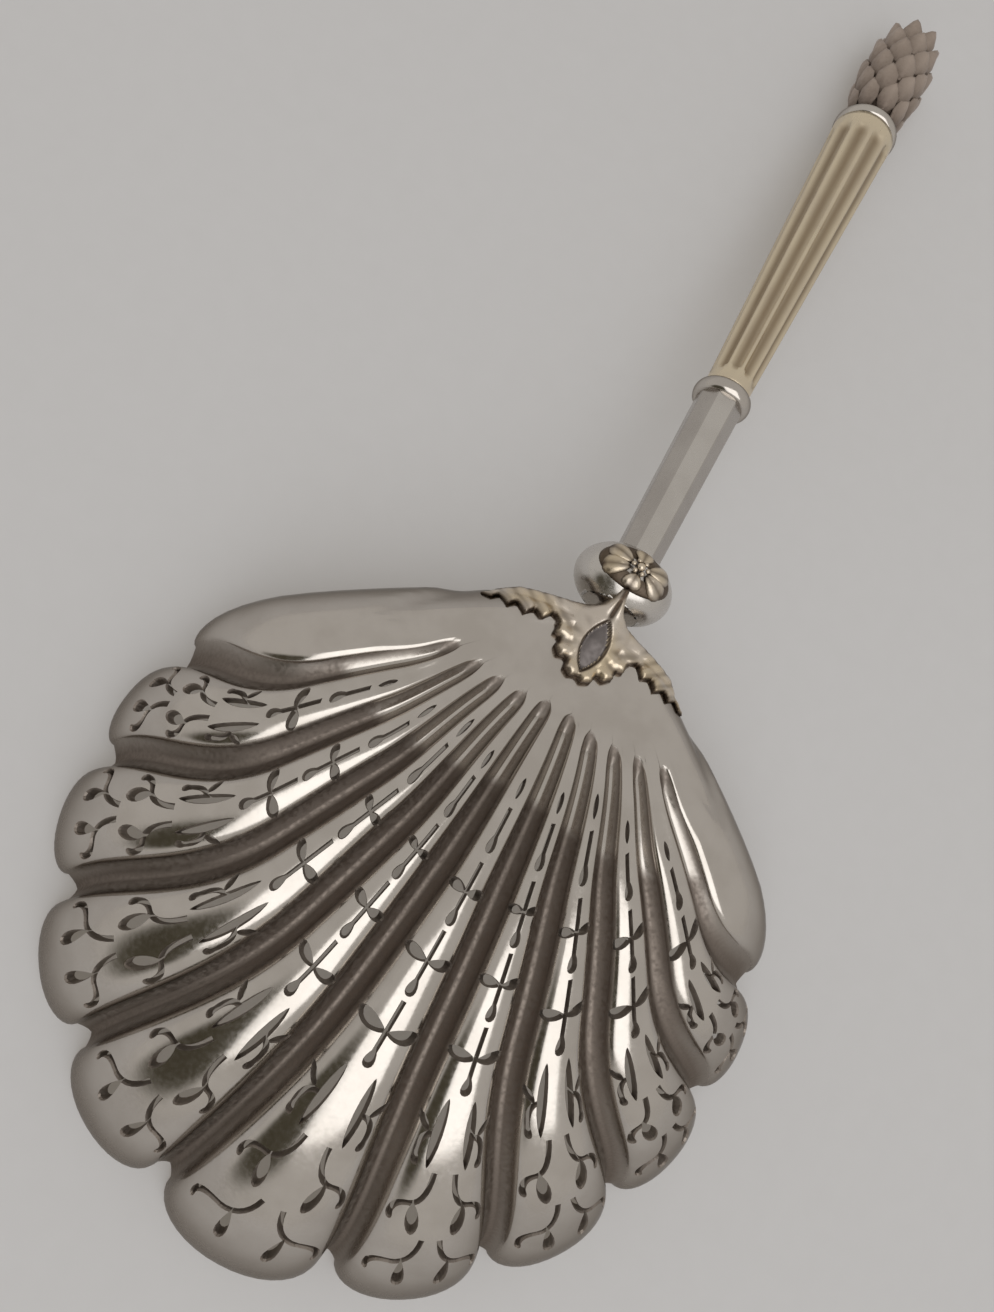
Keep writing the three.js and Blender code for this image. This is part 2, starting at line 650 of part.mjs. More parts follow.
// The origin lies on the table, under the middle of the spoon.
const extent = new THREE.Box3().setFromObject(spoon, true);
const middle = extent.getCenter(new THREE.Vector3());
spoon.position.set(-middle.x, -middle.y, -extent.min.z);

export default spoon;
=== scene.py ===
"""Looks of a sugar sifter spoon: pierced shell bowl, gilt mounts and fluted handle, in the CAD frame."""
import logging
import math
from dataclasses import dataclass, field
from enum import Enum, IntEnum
from typing import Callable

import bmesh
import bpy
import numpy as np
from bmesh.types import BMEdge, BMesh, BMFace, BMLayerItem, BMVert
from mathutils import Matrix, Vector


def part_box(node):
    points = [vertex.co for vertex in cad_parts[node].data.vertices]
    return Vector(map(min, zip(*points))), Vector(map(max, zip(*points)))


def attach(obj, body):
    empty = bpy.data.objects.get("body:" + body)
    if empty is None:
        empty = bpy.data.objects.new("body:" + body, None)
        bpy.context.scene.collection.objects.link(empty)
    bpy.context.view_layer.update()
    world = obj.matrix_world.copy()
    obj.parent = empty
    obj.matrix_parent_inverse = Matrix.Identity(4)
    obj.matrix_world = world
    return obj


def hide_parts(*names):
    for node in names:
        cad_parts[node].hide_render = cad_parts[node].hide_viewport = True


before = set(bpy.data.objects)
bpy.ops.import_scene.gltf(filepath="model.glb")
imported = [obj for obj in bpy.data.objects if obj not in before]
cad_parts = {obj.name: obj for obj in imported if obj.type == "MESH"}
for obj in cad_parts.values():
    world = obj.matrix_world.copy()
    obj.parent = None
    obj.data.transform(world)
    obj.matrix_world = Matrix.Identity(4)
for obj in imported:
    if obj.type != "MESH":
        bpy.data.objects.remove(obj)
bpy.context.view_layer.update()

MM = 0.001
WELD = 0.001
LONG_EDGE = 1.0
TINY = 1e-12
# Attribute that darkens a piece's finish: tarnish in the bowl's grooves, and painted shade in hollows, along
# edges and between parts.
SHADE_AND_TARNISH_ATTRIBUTE = "tarnish_and_shade"
LOG = logging.getLogger("sifter_spoon")

# Places of the colour sockets on a Mix node, whose names are shared with sockets of other types.
MIX_FIRST, MIX_SECOND, MIX_RESULT = 6, 7, 2

Colour = tuple[float, float, float]
Point = tuple[float, float]
Span = tuple[float, float, int]
Socket = bpy.types.NodeSocket
Inputs = dict[str | int, object]

EVEN: Colour = (1.0, 1.0, 1.0)


class Slot(Enum):
    """Material slots of the record."""

    SILVER = "silver"
    GILT = "gilt"
    HANDLE_GILT = "handle_gilt"
    DULL_GILT = "dull_gilt"


def heel_of_bowl() -> Vector:
    """Place of the bowl's heel in the frame, in millimetres, on the level of the rim."""
    low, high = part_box("shell_bowl")
    return Vector((0.0, high.y, low.z)) / MM


def smoothstep(low: float, high: float, value: np.ndarray) -> np.ndarray:
    """Eased ramp from 0 at low to 1 at high."""
    share = np.clip((value - low) / (high - low), 0.0, 1.0)
    return share * share * (3.0 - 2.0 * share)


def arch(off: np.ndarray, squareness: float) -> np.ndarray:
    """Height of a squared arch, from 1 in its middle to 0 at its ends."""
    return np.maximum(1.0 - off**squareness, 0.0) ** (1.0 / squareness)


def quarter_round(share: np.ndarray) -> np.ndarray:
    """Height of a quarter circle, steep at 0 and level from 1 on."""
    return np.sqrt(1.0 - (1.0 - np.clip(share, 0.0, 1.0)) ** 2)


def ruled(*spans: Span) -> np.ndarray:
    """Even steps over spans that join, each a start, an end and a number of steps, without the last end."""
    return np.concatenate([np.linspace(start, end, steps + 1)[:-1] for start, end, steps in spans])


class NodeSketch:
    """Small helper that wires the nodes of one material or world."""

    def __init__(self, tree: bpy.types.NodeTree) -> None:
        """Keeps the node tree that the sketch draws in."""
        self.tree = tree

    def wire(self, node: bpy.types.Node, inputs: Inputs) -> None:
        """Feeds a node's inputs.

        Args:
            node: the node.
            inputs: for each input, a constant or the socket that feeds it.
        """
        for name, value in inputs.items():
            if isinstance(value, Socket):
                self.tree.links.new(value, node.inputs[name])
            else:
                node.inputs[name].default_value = value

    def node(self, kind: str, inputs: Inputs | None = None, **settings: object) -> bpy.types.Node:
        """Adds a node.

        Args:
            kind: the node's type name.
            inputs: for each input, a constant or the socket that feeds it.
            settings: attributes to set on it.
        Returns:
            The new node.
        """
        made = self.tree.nodes.new(kind)
        for name, value in settings.items():
            setattr(made, name, value)
        self.wire(made, inputs or {})
        return made

    def noise(self, scale: float, stretch: Colour, detail: float) -> Socket:
        """Grain on Object coordinates.

        Args:
            scale: cycles in a metre.
            stretch: factor for each axis.
            detail: octaves of the noise.
        Returns:
            The socket of the grain's value, about 0.5 on average.
        """
        place = self.node("ShaderNodeTexCoord").outputs["Object"]
        stretched = self.node("ShaderNodeMapping", {"Vector": place, "Scale": stretch}).outputs["Vector"]
        grain = {"Vector": stretched, "Scale": scale, "Detail": detail}
        return self.node("ShaderNodeTexNoise", grain).outputs["Fac"]

    def ramp(self, value: Socket, low: Point, high: Point) -> Socket:
        """Maps a value from one range to another.

        Args:
            value: the socket to map.
            low: where the source range starts, and the result there.
            high: where the source range ends, and the result there.
        Returns:
            The socket of the mapped value.
        """
        ends = dict(zip(("From Min", "To Min", "From Max", "To Max"), (*low, *high)))
        scaled = self.node("ShaderNodeMapRange", {"Value": value, **ends}, interpolation_type="SMOOTHSTEP")
        return scaled.outputs["Result"]

    def mix(self, share: Socket, first: Socket | Colour, second: Socket | Colour) -> Socket:
        """Blends two colours.

        Args:
            share: the socket of the blend, 0 for the first colour.
            first: the first colour or its socket.
            second: the second colour or its socket.
        Returns:
            The socket of the blended colour.
        """
        ends = [item if isinstance(item, Socket) else (*item, 1.0) for item in (first, second)]
        colours = {"Factor": share, MIX_FIRST: ends[0], MIX_SECOND: ends[1]}
        return self.node("ShaderNodeMix", colours, data_type="RGBA").outputs[MIX_RESULT]

    def math(self, operation: str, first: Socket, second: Socket | float) -> Socket:
        """Result of one operation on two values."""
        return self.node("ShaderNodeMath", {0: first, 1: second}, operation=operation).outputs[0]

    def attribute(self, name: str) -> Socket:
        """Value of one of the piece's own attributes."""
        return self.node("ShaderNodeAttribute", attribute_name=name).outputs["Fac"]


@dataclass(frozen=True)
class MetalFinish:
    """A metal surface: its colour, its tarnish and painted shade where an attribute says so, its polish and
    fine marks.

    Pairs of points map the grain's value: from the first point's place and result to the second's.
    """

    name: str
    colour: Colour
    worn: Colour
    tarnish_and_shade: Colour
    polish: float
    dulled: float
    blotches: float = 260.0
    blotch_detail: float = 4.0
    blotch_range: tuple[Point, Point] = ((0.35, 0.0), (0.7, 1.0))
    grain: float = 2600.0
    grain_detail: float = 2.0
    grain_range: tuple[Point, Point] = ((0.3, 0.8), (0.75, 1.25))
    stretch: Colour = EVEN
    relief: float = 0.06
    relief_depth: float = 0.05 * MM
    grazing: Colour = EVEN

    def material(self) -> bpy.types.Material:
        """Makes the node material.

        Returns:
            The material, which reads the piece's attribute of tarnish and painted shade.
        """
        made = bpy.data.materials.new(self.name)
        made.use_nodes = True
        sketch = NodeSketch(made.node_tree)
        cloud = sketch.ramp(sketch.noise(self.blotches, EVEN, self.blotch_detail), *self.blotch_range)
        marks = sketch.noise(self.grain, self.stretch, self.grain_detail)
        shade_and_tarnish = sketch.attribute(SHADE_AND_TARNISH_ATTRIBUTE)
        rough = sketch.ramp(shade_and_tarnish, (0.0, self.polish), (1.0, self.dulled))
        relief = {"Strength": self.relief, "Distance": self.relief_depth, "Height": marks}
        sketch.wire(made.node_tree.nodes["Principled BSDF"], {
            "Metallic": 1.0,
            "Specular Tint": (*self.grazing, 1.0),
            # Where the attribute asks, the colour darkens towards the finish's third colour: tarnish, and
            # painted shade.
            "Base Color": sketch.mix(shade_and_tarnish, sketch.mix(cloud, self.colour, self.worn), self.tarnish_and_shade),
            "Roughness": sketch.math("MULTIPLY", sketch.ramp(marks, *self.grain_range), rough),
            "Normal": sketch.node("ShaderNodeBump", relief).outputs["Normal"],
        })
        return made


# The third colour of each finish is its dark colour: tarnish, and the painted shade that the pieces ask for.
POLISHED_SILVER = MetalFinish(
    "polished_silver", (0.601, 0.562, 0.52), (0.547, 0.508, 0.466), (0.235, 0.2, 0.174), 0.17, 0.54,
    grazing=(0.45, 0.43, 0.41),
)
INNER_SILVER = MetalFinish(
    "inner_silver", (0.57, 0.539, 0.501), (0.508, 0.477, 0.439), (0.108, 0.085, 0.062), 0.30, 0.5
)
SAWN_SILVER = MetalFinish(
    "sawn_silver", (0.38, 0.335, 0.295), (0.31, 0.27, 0.24), (0.154, 0.131, 0.112), 0.6, 0.7
)
SATIN_SILVER = MetalFinish(
    "satin_silver", (0.631, 0.601, 0.566), (0.585, 0.554, 0.52), (0.108, 0.085, 0.069), 0.24, 0.5,
    relief=0.02,
)
# A darker copy of the satin silver: painted shade on the stem's facets that face sideways.
SHADED_SIDE_SILVER = MetalFinish(
    "shaded_side_silver", (0.508, 0.477, 0.447), (0.462, 0.431, 0.404), (0.108, 0.085, 0.069), 0.24, 0.5,
    relief=0.02,
)
CLOUDED_SILVER = MetalFinish(
    "clouded_silver", (0.185, 0.166, 0.16), (0.139, 0.123, 0.119), (0.069, 0.054, 0.046), 0.45, 0.5
)
PALE_GILT = MetalFinish(
    "pale_gilt", (0.70, 0.59, 0.43), (0.69, 0.62, 0.545), (0.092, 0.065, 0.046), 0.34, 0.55, relief=0.3
)
SATIN_GILT = MetalFinish(
    "satin_gilt", (0.775, 0.672, 0.503), (0.72, 0.622, 0.476), (0.277, 0.204, 0.131), 0.34, 0.5,
    stretch=(1.0, 0.12, 1.0),
)
CONE_GILT = MetalFinish(
    "cone_gilt", (0.55, 0.462, 0.4), (0.46, 0.38, 0.325), (0.1, 0.075, 0.06), 0.48, 0.65
)


@dataclass
class Piece:
    """A finished mesh that stands for one CAD node."""

    name: str
    node: str
    slot: Slot
    finishes: tuple[MetalFinish, ...]

    def place(self, mesh: bpy.types.Mesh) -> bpy.types.Object:
        """Links the mesh as an object, dresses it and ties it to the frame.

        Args:
            mesh: the mesh, in metres in the shared frame.
        Returns:
            The object.
        """
        if SHADE_AND_TARNISH_ATTRIBUTE not in mesh.attributes:
            set_shade_and_tarnish(mesh, np.zeros(len(mesh.vertices)))
        made = bpy.data.objects.new(self.name, mesh)
        bpy.context.scene.collection.objects.link(made)
        kinds = np.empty(len(mesh.polygons), dtype=np.int32)
        mesh.polygons.foreach_get("material_index", kinds)
        mesh.materials.clear()
        for finish in self.finishes:
            mesh.materials.append(bpy.data.materials.get(finish.name) or finish.material())
        mesh.polygons.foreach_set("material_index", np.minimum(kinds, len(self.finishes) - 1))
        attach(made, "root")
        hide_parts(self.node)
        LOG.info("%s: %d faces for %s", self.name, len(mesh.polygons), self.node)
        return made


def baked(shape: BMesh, name: str) -> bpy.types.Mesh:
    """Turns a shape into a mesh and frees the shape.

    Args:
        shape: the shape.
        name: name of the mesh.
    Returns:
        The mesh.
    """
    mesh = bpy.data.meshes.new(name)
    shape.to_mesh(mesh)
    shape.free()
    return mesh


def mesh_of(shape: BMesh, name: str, to_frame: Matrix) -> bpy.types.Mesh:
    """Turns a shape in millimetres into a smooth mesh in metres.

    Args:
        shape: the shape, freed afterwards.
        name: name of the mesh.
        to_frame: its place in the frame, in millimetres.
    Returns:
        The mesh.
    """
    bmesh.ops.transform(shape, matrix=Matrix.Scale(MM, 4) @ to_frame, verts=shape.verts)
    for face in shape.faces:
        face.smooth = True
    return baked(shape, name)


def set_shade_and_tarnish(mesh: bpy.types.Mesh, values: np.ndarray) -> None:
    """Writes the share of tarnish and painted shade at each vertex as an attribute of the mesh."""
    layer = mesh.attributes.new(SHADE_AND_TARNISH_ATTRIBUTE, "FLOAT", "POINT")
    layer.data.foreach_set("value", values.astype(np.float32))


def lay_from_heel(mesh: bpy.types.Mesh, points: np.ndarray) -> None:
    """Moves the mesh's vertices to points in millimetres from the bowl's heel."""
    places = (points + np.array(heel_of_bowl())) * MM
    mesh.vertices.foreach_set("co", places.ravel())


def points_of(mesh: bpy.types.Mesh) -> np.ndarray:
    """Coordinates of the mesh's vertices.

    Args:
        mesh: the mesh.
    Returns:
        The points, one row each.
    """
    flat = np.empty(3 * len(mesh.vertices))
    mesh.vertices.foreach_get("co", flat)
    return flat.reshape(-1, 3)


def thickened(shape: BMesh, height: float, name: str) -> bpy.types.Object:
    """Raises flat faces into a closed solid.

    Args:
        shape: the flat faces, freed afterwards.
        height: how far they are raised.
        name: name of the object.
    Returns:
        An object that is not part of the scene's result.
    """
    raised = bmesh.ops.extrude_face_region(shape, geom=shape.faces[:])
    lifted = [item for item in raised["geom"] if isinstance(item, BMVert)]
    bmesh.ops.translate(shape, vec=(0.0, 0.0, height), verts=lifted)
    bmesh.ops.recalc_face_normals(shape, faces=shape.faces)
    return bpy.data.objects.new(name, baked(shape, name))


def round_off(
    shape: BMesh, items: list[BMEdge] | list[BMVert], offset: float, steps: int, affect: str = "EDGES"
) -> None:
    """Rounds off edges or corners of a shape.

    Args:
        shape: the shape.
        items: the edges or vertices.
        offset: how far the rounding reaches.
        steps: number of steps in the rounding.
        affect: what is rounded, as the bevel operator names it.
    """
    bmesh.ops.bevel(
        shape, geom=items, offset=offset, offset_type="OFFSET", segments=steps, profile=0.5,
        affect=affect, material=-1,
    )


def edges_along(shape: BMesh, axis: int) -> list[BMEdge]:
    """Edges of a shape that run along an axis, given by its number."""
    ends = ((edge, *edge.verts) for edge in shape.edges)
    return [edge for edge, first, last in ends if abs(first.co[axis] - last.co[axis]) > LONG_EDGE]


def combined(blank: bpy.types.Object, tools: list[bpy.types.Object], operation: str) -> bpy.types.Mesh:
    """Cuts a blank with tools, and clears them all away.

    Args:
        blank: the solid to cut.
        tools: the solids that cut it.
        operation: what is done, as the Boolean modifier names it.
    Returns:
        The cut mesh.
    """
    for item in (blank, *tools):
        bpy.context.scene.collection.objects.link(item)
    for tool in tools:
        cut = blank.modifiers.new(tool.name, "BOOLEAN")
        cut.operation = operation
        cut.solver = "MANIFOLD"
        cut.object = tool
    bpy.context.view_layer.update()
    made = bpy.data.meshes.new_from_object(blank.evaluated_get(bpy.context.evaluated_depsgraph_get()))
    for item in (blank, *tools):
        bpy.data.meshes.remove(item.data)
    return made


@dataclass(frozen=True)
class ShellForm:
    """Shape of the shell in millimetres from its heel, with angles in degrees from the front.

    A place on the shell is a column and a share. Each lobe is two columns wide, and the share runs from
    0 at the heel to 1 at the rim.
    """

    sheet: float = 0.9
    radius: float = 32.0
    heel_to_centre: float = 28.6
    heel_height: float = 13.4
    back_swell: float = 7.0
    shoulder_rise: float = 7.5
    rim_flat: float = 8.0
    shoulder_angle: float = 53.7
    shoulder_offset: float = 5.55
    hinge_angle: float = 83.5
    grooves: tuple[float, ...] = (7.9, 21.1, 33.6, 45.3, 56.3)
    roll_crest: float = 64.0
    groove_half: float = 1.05
    groove_at_head: float = 0.62
    groove_run: float = 16.0
    head_round: float = 2.2
    head_ramp: float = 1.6
    groove_dip: float = 0.85
    squareness: float = 2.2
    roll_squareness: float = 2.4
    roll_ease: float = 3.2
    splay: float = 0.24
    splay_head: Point = (0.1, 0.42)
    splay_rim: Point = (0.6, 1.0)
    head_middle: float = 7.8
    head_side: float = 11.8
    fullness: float = 0.19
    lip_height: float = 0.22
    lip_width: float = 0.4
    lip_run: float = 12.0
    dome_columns: float = 0.8
    corner_sharpness: float = 8.0
    dome_flatness: float = 3.0
    dome_edge: float = 0.6
    growth_ease: float = 0.1
    lip_fade: float = 0.6
    dip_roundness: float = 1.5
    least_flank: float = 0.2
    least_angle: float = 0.01
    least_run: float = 0.1
    least_out: float = 0.001
    angle_step: float = 0.05
    column_step: float = 0.004
    share_step: float = 0.001

    @property
    def bounds(self) -> np.ndarray:
        """Angles of the grooves and the two hinge edges, from left to right."""
        right = np.array((*self.grooves, self.hinge_angle))
        return np.concatenate((-right[::-1], right))

    @property
    def crests(self) -> np.ndarray:
        """Directions of the lobes' crests.

        Returns:
            The angles, from left to right.
        """
        middles = (self.bounds[:-1] + self.bounds[1:]) / 2.0
        middles[0], middles[-1] = -self.roll_crest, self.roll_crest
        return middles

    @property
    def lobes(self) -> int:
        """Number of lobes."""
        return 2 * len(self.grooves) + 1

    def lobe_at(self, column: np.ndarray) -> tuple[np.ndarray, np.ndarray]:
        """Number of the lobe at each column, and the place across it from -1 to 1."""
        lobe = np.clip(np.floor((column + 1.0) / 2.0).astype(int), 0, self.lobes - 1)
        return lobe, column - 2.0 * lobe

    def is_roll(self, lobe: np.ndarray) -> np.ndarray:
        """Whether each lobe is one of the two rolls at the sides."""
        return (lobe == 0) | (lobe == self.lobes - 1)

    def on_plain_side(self, lobe: np.ndarray, across: np.ndarray) -> np.ndarray:
        """Whether each place is on the outer half of a roll, which ends at the hinge edge."""
        return ((lobe == 0) & (across < 0.0)) | ((lobe == self.lobes - 1) & (across >= 0.0))

    def reach(self, angle: np.ndarray) -> np.ndarray:
        """Distance from the heel to the rim in plan.

        Args:
            angle: directions.
        Returns:
            The distances.
        """
        along = self.heel_to_centre * np.cos(np.radians(angle))
        circle = along + np.sqrt(along**2 + self.radius**2 - self.heel_to_centre**2)
        beyond = np.radians(np.maximum(np.abs(angle) - self.shoulder_angle, self.least_angle))
        straight = self.shoulder_offset / np.sin(beyond)
        power = -self.corner_sharpness
        return (circle**power + straight**power) ** (1.0 / power)

    def rim_height(self, angle: np.ndarray) -> np.ndarray:
        """Height of the rim over the table.

        Args:
            angle: directions.
        Returns:
            The heights.
        """
        flat_end = self.rim_flat - self.heel_to_centre - self.radius
        hinge = np.array(self.hinge_angle)
        shoulder = -self.reach(hinge) * np.cos(np.radians(hinge))
        behind = -self.reach(angle) * np.cos(np.radians(angle)) - flat_end
        return self.shoulder_rise * (np.maximum(behind, 0.0) / (shoulder - flat_end)) ** 2

    def back(self, angle: np.ndarray, share: np.ndarray) -> np.ndarray:
        """Plain back of the bowl, without lobes.

        Args:
            angle: directions.
            share: shares of the way to the rim.
        Returns:
            The points, one row each.
        """
        turn = np.radians(angle)
        out = self.reach(angle) * share
        rim = self.rim_height(angle)
        crown = self.heel_height + self.back_swell * np.cos(turn) * (1.0 - (1.0 - share) ** 3)
        fall = np.maximum(1.0 - share**self.dome_flatness, 0.0) ** self.dome_edge
        return np.stack((np.sin(turn) * out, -np.cos(turn) * out, rim + (crown - rim) * fall), axis=-1)

    def head(self, angle: np.ndarray) -> np.ndarray:
        """Distance from the heel at which the grooves start."""
        side = np.minimum(np.abs(angle) / self.grooves[-1], 1.0)
        return self.head_middle + (self.head_side - self.head_middle) * side

    def past_head(self, angle: np.ndarray, share: np.ndarray) -> np.ndarray:
        """Distance beyond the heads of the grooves, 0 before them."""
        return np.maximum(share * self.reach(angle) - self.head(angle), 0.0)

    def growth(self, angle: np.ndarray, share: np.ndarray) -> np.ndarray:
        """How far the lobes have grown, from 0 at the heads of the grooves to 1 at the rim.

        Args:
            angle: directions.
            share: shares of the way to the rim.
        Returns:
            The growths.
        """
        ease = self.growth_ease
        run = np.maximum(self.reach(angle) - self.head(angle), self.least_run)
        part = self.past_head(angle, share) / run
        return (np.sqrt(np.clip(part, 0.0, 1.0) + ease**2) - ease) / (math.hypot(1.0, ease) - ease)

    def groove(self, edge: np.ndarray, share: np.ndarray) -> np.ndarray:
        """Half the width of a groove, which starts with a round head.

        Args:
            edge: directions of the grooves.
            share: shares of the way to the rim.
        Returns:
            The half widths.
        """
        past = self.past_head(edge, share)
        rounded = quarter_round(past / self.head_round)
        opened = np.clip(past / self.groove_run, 0.0, 1.0)
        return rounded * (self.groove_at_head + (self.groove_half - self.groove_at_head) * opened)

    def splayed(self, angle: np.ndarray, share: np.ndarray) -> np.ndarray:
        """Directions in plan of lobes that run closer together over the middle of the bowl.

        Args:
            angle: directions at the rim.
            share: shares of the way to the rim.
        Returns:
            The directions there.
        """
        part = angle / self.hinge_angle
        gathered = (1.0 - self.splay) * angle + self.splay * self.hinge_angle * part**3
        weight = smoothstep(*self.splay_head, share) * (1.0 - smoothstep(*self.splay_rim, share))
        return angle + (gathered - angle) * weight

    def half_width(self, middle: np.ndarray, edge: np.ndarray, share: np.ndarray) -> np.ndarray:
        """Distance in plan from a lobe's crest to its groove.

        Args:
            middle: directions of the crests.
            edge: directions of the grooves.
            share: shares of the way to the rim.
        Returns:
            The distances.
        """
        crest = self.splayed(middle, share)
        out = np.maximum(share * self.reach(crest), self.least_out)
        return np.radians(np.abs(self.splayed(edge, share) - crest)) * out

    def crest(self, lobe: np.ndarray, angle: np.ndarray, share: np.ndarray) -> np.ndarray:
        """Height of a lobe's crest over the plain back.

        Args:
            lobe: numbers of the lobes.
            angle: directions.
            share: shares of the way to the rim.
        Returns:
            The heights.
        """
        width = np.radians(self.lobe_span(lobe)) * self.reach(angle)
        eased = smoothstep(0.0, self.roll_ease, self.past_head(angle, share))
        return self.fullness * width * self.growth(angle, share) * np.where(self.is_roll(lobe), eased, 1.0)

    def section(self, column: np.ndarray, share: np.ndarray) -> tuple[np.ndarray, np.ndarray]:
        """Direction of each place, and how far its lobe or groove stands off the plain back.

        Args:
            column: columns, two to a lobe.
            share: shares of the way to the rim.
        Returns:
            The angles and the heights.
        """
        lobe, across = self.lobe_at(column)
        right = across >= 0.0
        edge = np.where(right, self.bounds[lobe + 1], self.bounds[lobe])
        middle = self.crests[lobe]
        side = np.abs(across)
        place = side / self.dome_columns
        width = self.half_width(middle, edge, share)
        floor = self.groove(edge, share)
        flank = np.clip(1.0 - floor / width, self.least_flank, 1.0)
        dome = np.sin(np.minimum(place, 1.0) * math.pi / 2.0)
        trough = np.clip((side - self.dome_columns) / (1.0 - self.dome_columns), 0.0, 1.0)
        in_groove = place > 1.0
        off = np.where(in_groove, flank + (1.0 - flank) * trough, flank * dome)
        past_head = self.past_head(edge, share)
        from_flank = width * np.maximum(flank - off, 0.0) / self.lip_width
        fade = np.minimum(past_head, 1.0) * np.exp(-((past_head / self.lip_run) ** 2))
        fade *= smoothstep(0.0, self.lip_fade, place)
        lip = self.lip_height * fade * from_flank * np.exp(1.0 - from_flank)
        sunk = self.groove_dip * floor * np.minimum(past_head / self.head_ramp, 1.0)
        sunk *= 1.0 - (1.0 - trough) ** self.dip_roundness
        lobed = self.crest(lobe, middle, share) * arch(dome, self.squareness) + lip
        plain = self.on_plain_side(lobe, across)
        off = np.where(plain, side, off)
        angle = middle + np.where(right, 1.0, -1.0) * off * np.abs(edge - middle)
        tube = self.crest(lobe, angle, share) * arch(side, self.roll_squareness)
        return angle, np.where(plain, tube, np.where(in_groove, -sunk, lobed))

    def lobe_span(self, lobe: np.ndarray) -> np.ndarray:
        """Angle that a lobe takes up, with the rolls at the sides twice as wide as their inner halves.

        Args:
            lobe: numbers of the lobes.
        Returns:
            The angles.
        """
        spans = np.diff(self.bounds)
        spans[0] = spans[-1] = 2.0 * (self.roll_crest - self.grooves[-1])
        return spans[lobe]

    def outer(self, column: np.ndarray, share: np.ndarray) -> np.ndarray:
        """Outer skin of the shell.

        Args:
            column: columns, two to a lobe.
            share: shares of the way to the rim.
        Returns:
            The points, one row each.
        """
        angle, rise = self.section(column, share)
        turned = self.splayed(angle, share)
        return self.back(turned, share) + rise[:, None] * self.plain_outward(angle, share)

    def outward(self, column: np.ndarray, share: np.ndarray) -> np.ndarray:
        """Outward directions of the outer skin."""
        return self.normals(self.outer, column, share, self.column_step)

    def plain_outward(self, angle: np.ndarray, share: np.ndarray) -> np.ndarray:
        """Outward directions of the plain back."""
        return self.normals(self.back, self.splayed(angle, share), share, self.angle_step)

    def normals(
        self,
        skin: Callable[[np.ndarray, np.ndarray], np.ndarray],
        across: np.ndarray,
        share: np.ndarray,
        turn: float,
    ) -> np.ndarray:
        """Outward directions of a skin, level at the rim and upright at the heel.

        Args:
            skin: function from a place to its point.
            across: first value of each place.
            share: second value of each place.
            turn: small change of the first value.
        Returns:
            The unit vectors, one row each.
        """
        step = self.share_step
        inside = np.clip(share, step, 1.0 - step)
        along = skin(across, inside + step) - skin(across, inside - step)
        side = skin(across + turn, inside) - skin(across - turn, inside)
        made = np.cross(along, side)
        made[share >= 1.0, 2] = 0.0
        made[share <= 0.0] = (0.0, 0.0, 1.0)
        return made / np.maximum(np.linalg.norm(made, axis=1), TINY)[:, None]

    def wrap(self, column: np.ndarray, share: np.ndarray, depth: np.ndarray) -> np.ndarray:
        """Bends flat sheet onto the shell.

        Args:
            column: columns, two to a lobe.
            share: shares of the way to the rim.
            depth: depths under the outer skin.
        Returns:
            The points, one row each.
        """
        angle, _ = self.section(column, share)
        lean = self.outward(column, share) + self.plain_outward(angle, share)
        lean /= np.linalg.norm(lean, axis=1)[:, None]
        return self.outer(column, share) - depth[:, None] * lean


class Cut(Enum):
    """Openings are sawn in passes, so that those of one pass never cross each other."""

    LEAF = 0
    STEM = 1
    BRANCH = 2


@dataclass(frozen=True)
class Opening:
    """One sawn opening of a motif, in shares of its cell: across from the crest, and up from the rim side.

    A leaf or drop lies between its first and last point. A stem or branch bends past its middle point.
    """

    cut: Cut
    points: tuple[Point, ...]
    width: float
    roundness: float = 0.0


def leaf(foot: Point, tip: Point, width: float, roundness: float = 0.0) -> Opening:
    """Leaf-shaped opening, pointed at its foot and more or less round at its tip."""
    return Opening(Cut.LEAF, (foot, tip), width, roundness)


def drop(foot: Point, tip: Point, width: float) -> Opening:
    """Drop-shaped opening, round at its tip."""
    return Opening(Cut.LEAF, (foot, tip), width, roundness=1.0)


def stem(*points: Point, width: float = 0.32) -> Opening:
    """Slit of a main stem."""
    return Opening(Cut.STEM, points, width)


def branch(*points: Point, width: float = 0.30) -> Opening:
    """Slit of a side branch."""
    return Opening(Cut.BRANCH, points, width)


class Motif(Enum):
    """Pierced motifs, with the openings on the crest first and then those that are mirrored."""

    DROP = (
        (
            leaf((0.0, 1.3), (0.0, 0.98), 0.45),
            stem((0.0, 0.82), (0.0, 0.6), (0.0, 0.32)),
            drop((0.0, 0.44), (0.0, 0.14), 1.3),
        ),
        (),
    )
    CROSS = (
        (stem((0.0, 0.98), (0.0, 0.6), (0.0, 0.24)), drop((0.0, 0.33), (0.0, 0.07), 1.4)),
        (leaf((0.02, 0.55), (0.44, 0.60), 1.5, roundness=0.7),),
    )
    LONG_LEAVES = (
        (),
        (
            leaf((0.16, 0.99), (0.24, 0.04), 0.72),
            leaf((0.31, 0.50), (0.44, 0.70), 0.5),
            branch((0.25, 0.5), (0.41, 0.46), (0.40, 0.14)),
            drop((0.40, 0.21), (0.395, 0.03), 0.7),
        ),
    )
    UPPER_SPRIGS = (
        (),
        (
            stem((0.10, 0.98), (0.12, 0.55), (0.27, 0.50)),
            branch((0.25, 0.505), (0.40, 0.49), (0.43, 0.29)),
            drop((0.43, 0.36), (0.435, 0.17), 0.6),
            leaf((0.235, 0.5), (0.205, 0.06), 1.15, roundness=0.5),
        ),
    )
    LOWER_SPRIGS = (
        (),
        (
            stem((0.07, 0.98), (0.10, 0.62), (0.26, 0.57)),
            branch((0.24, 0.575), (0.40, 0.56), (0.43, 0.37)),
            drop((0.43, 0.44), (0.43, 0.27), 0.5),
            drop((0.18, 0.60), (0.16, 0.18), 1.2),
        ),
    )


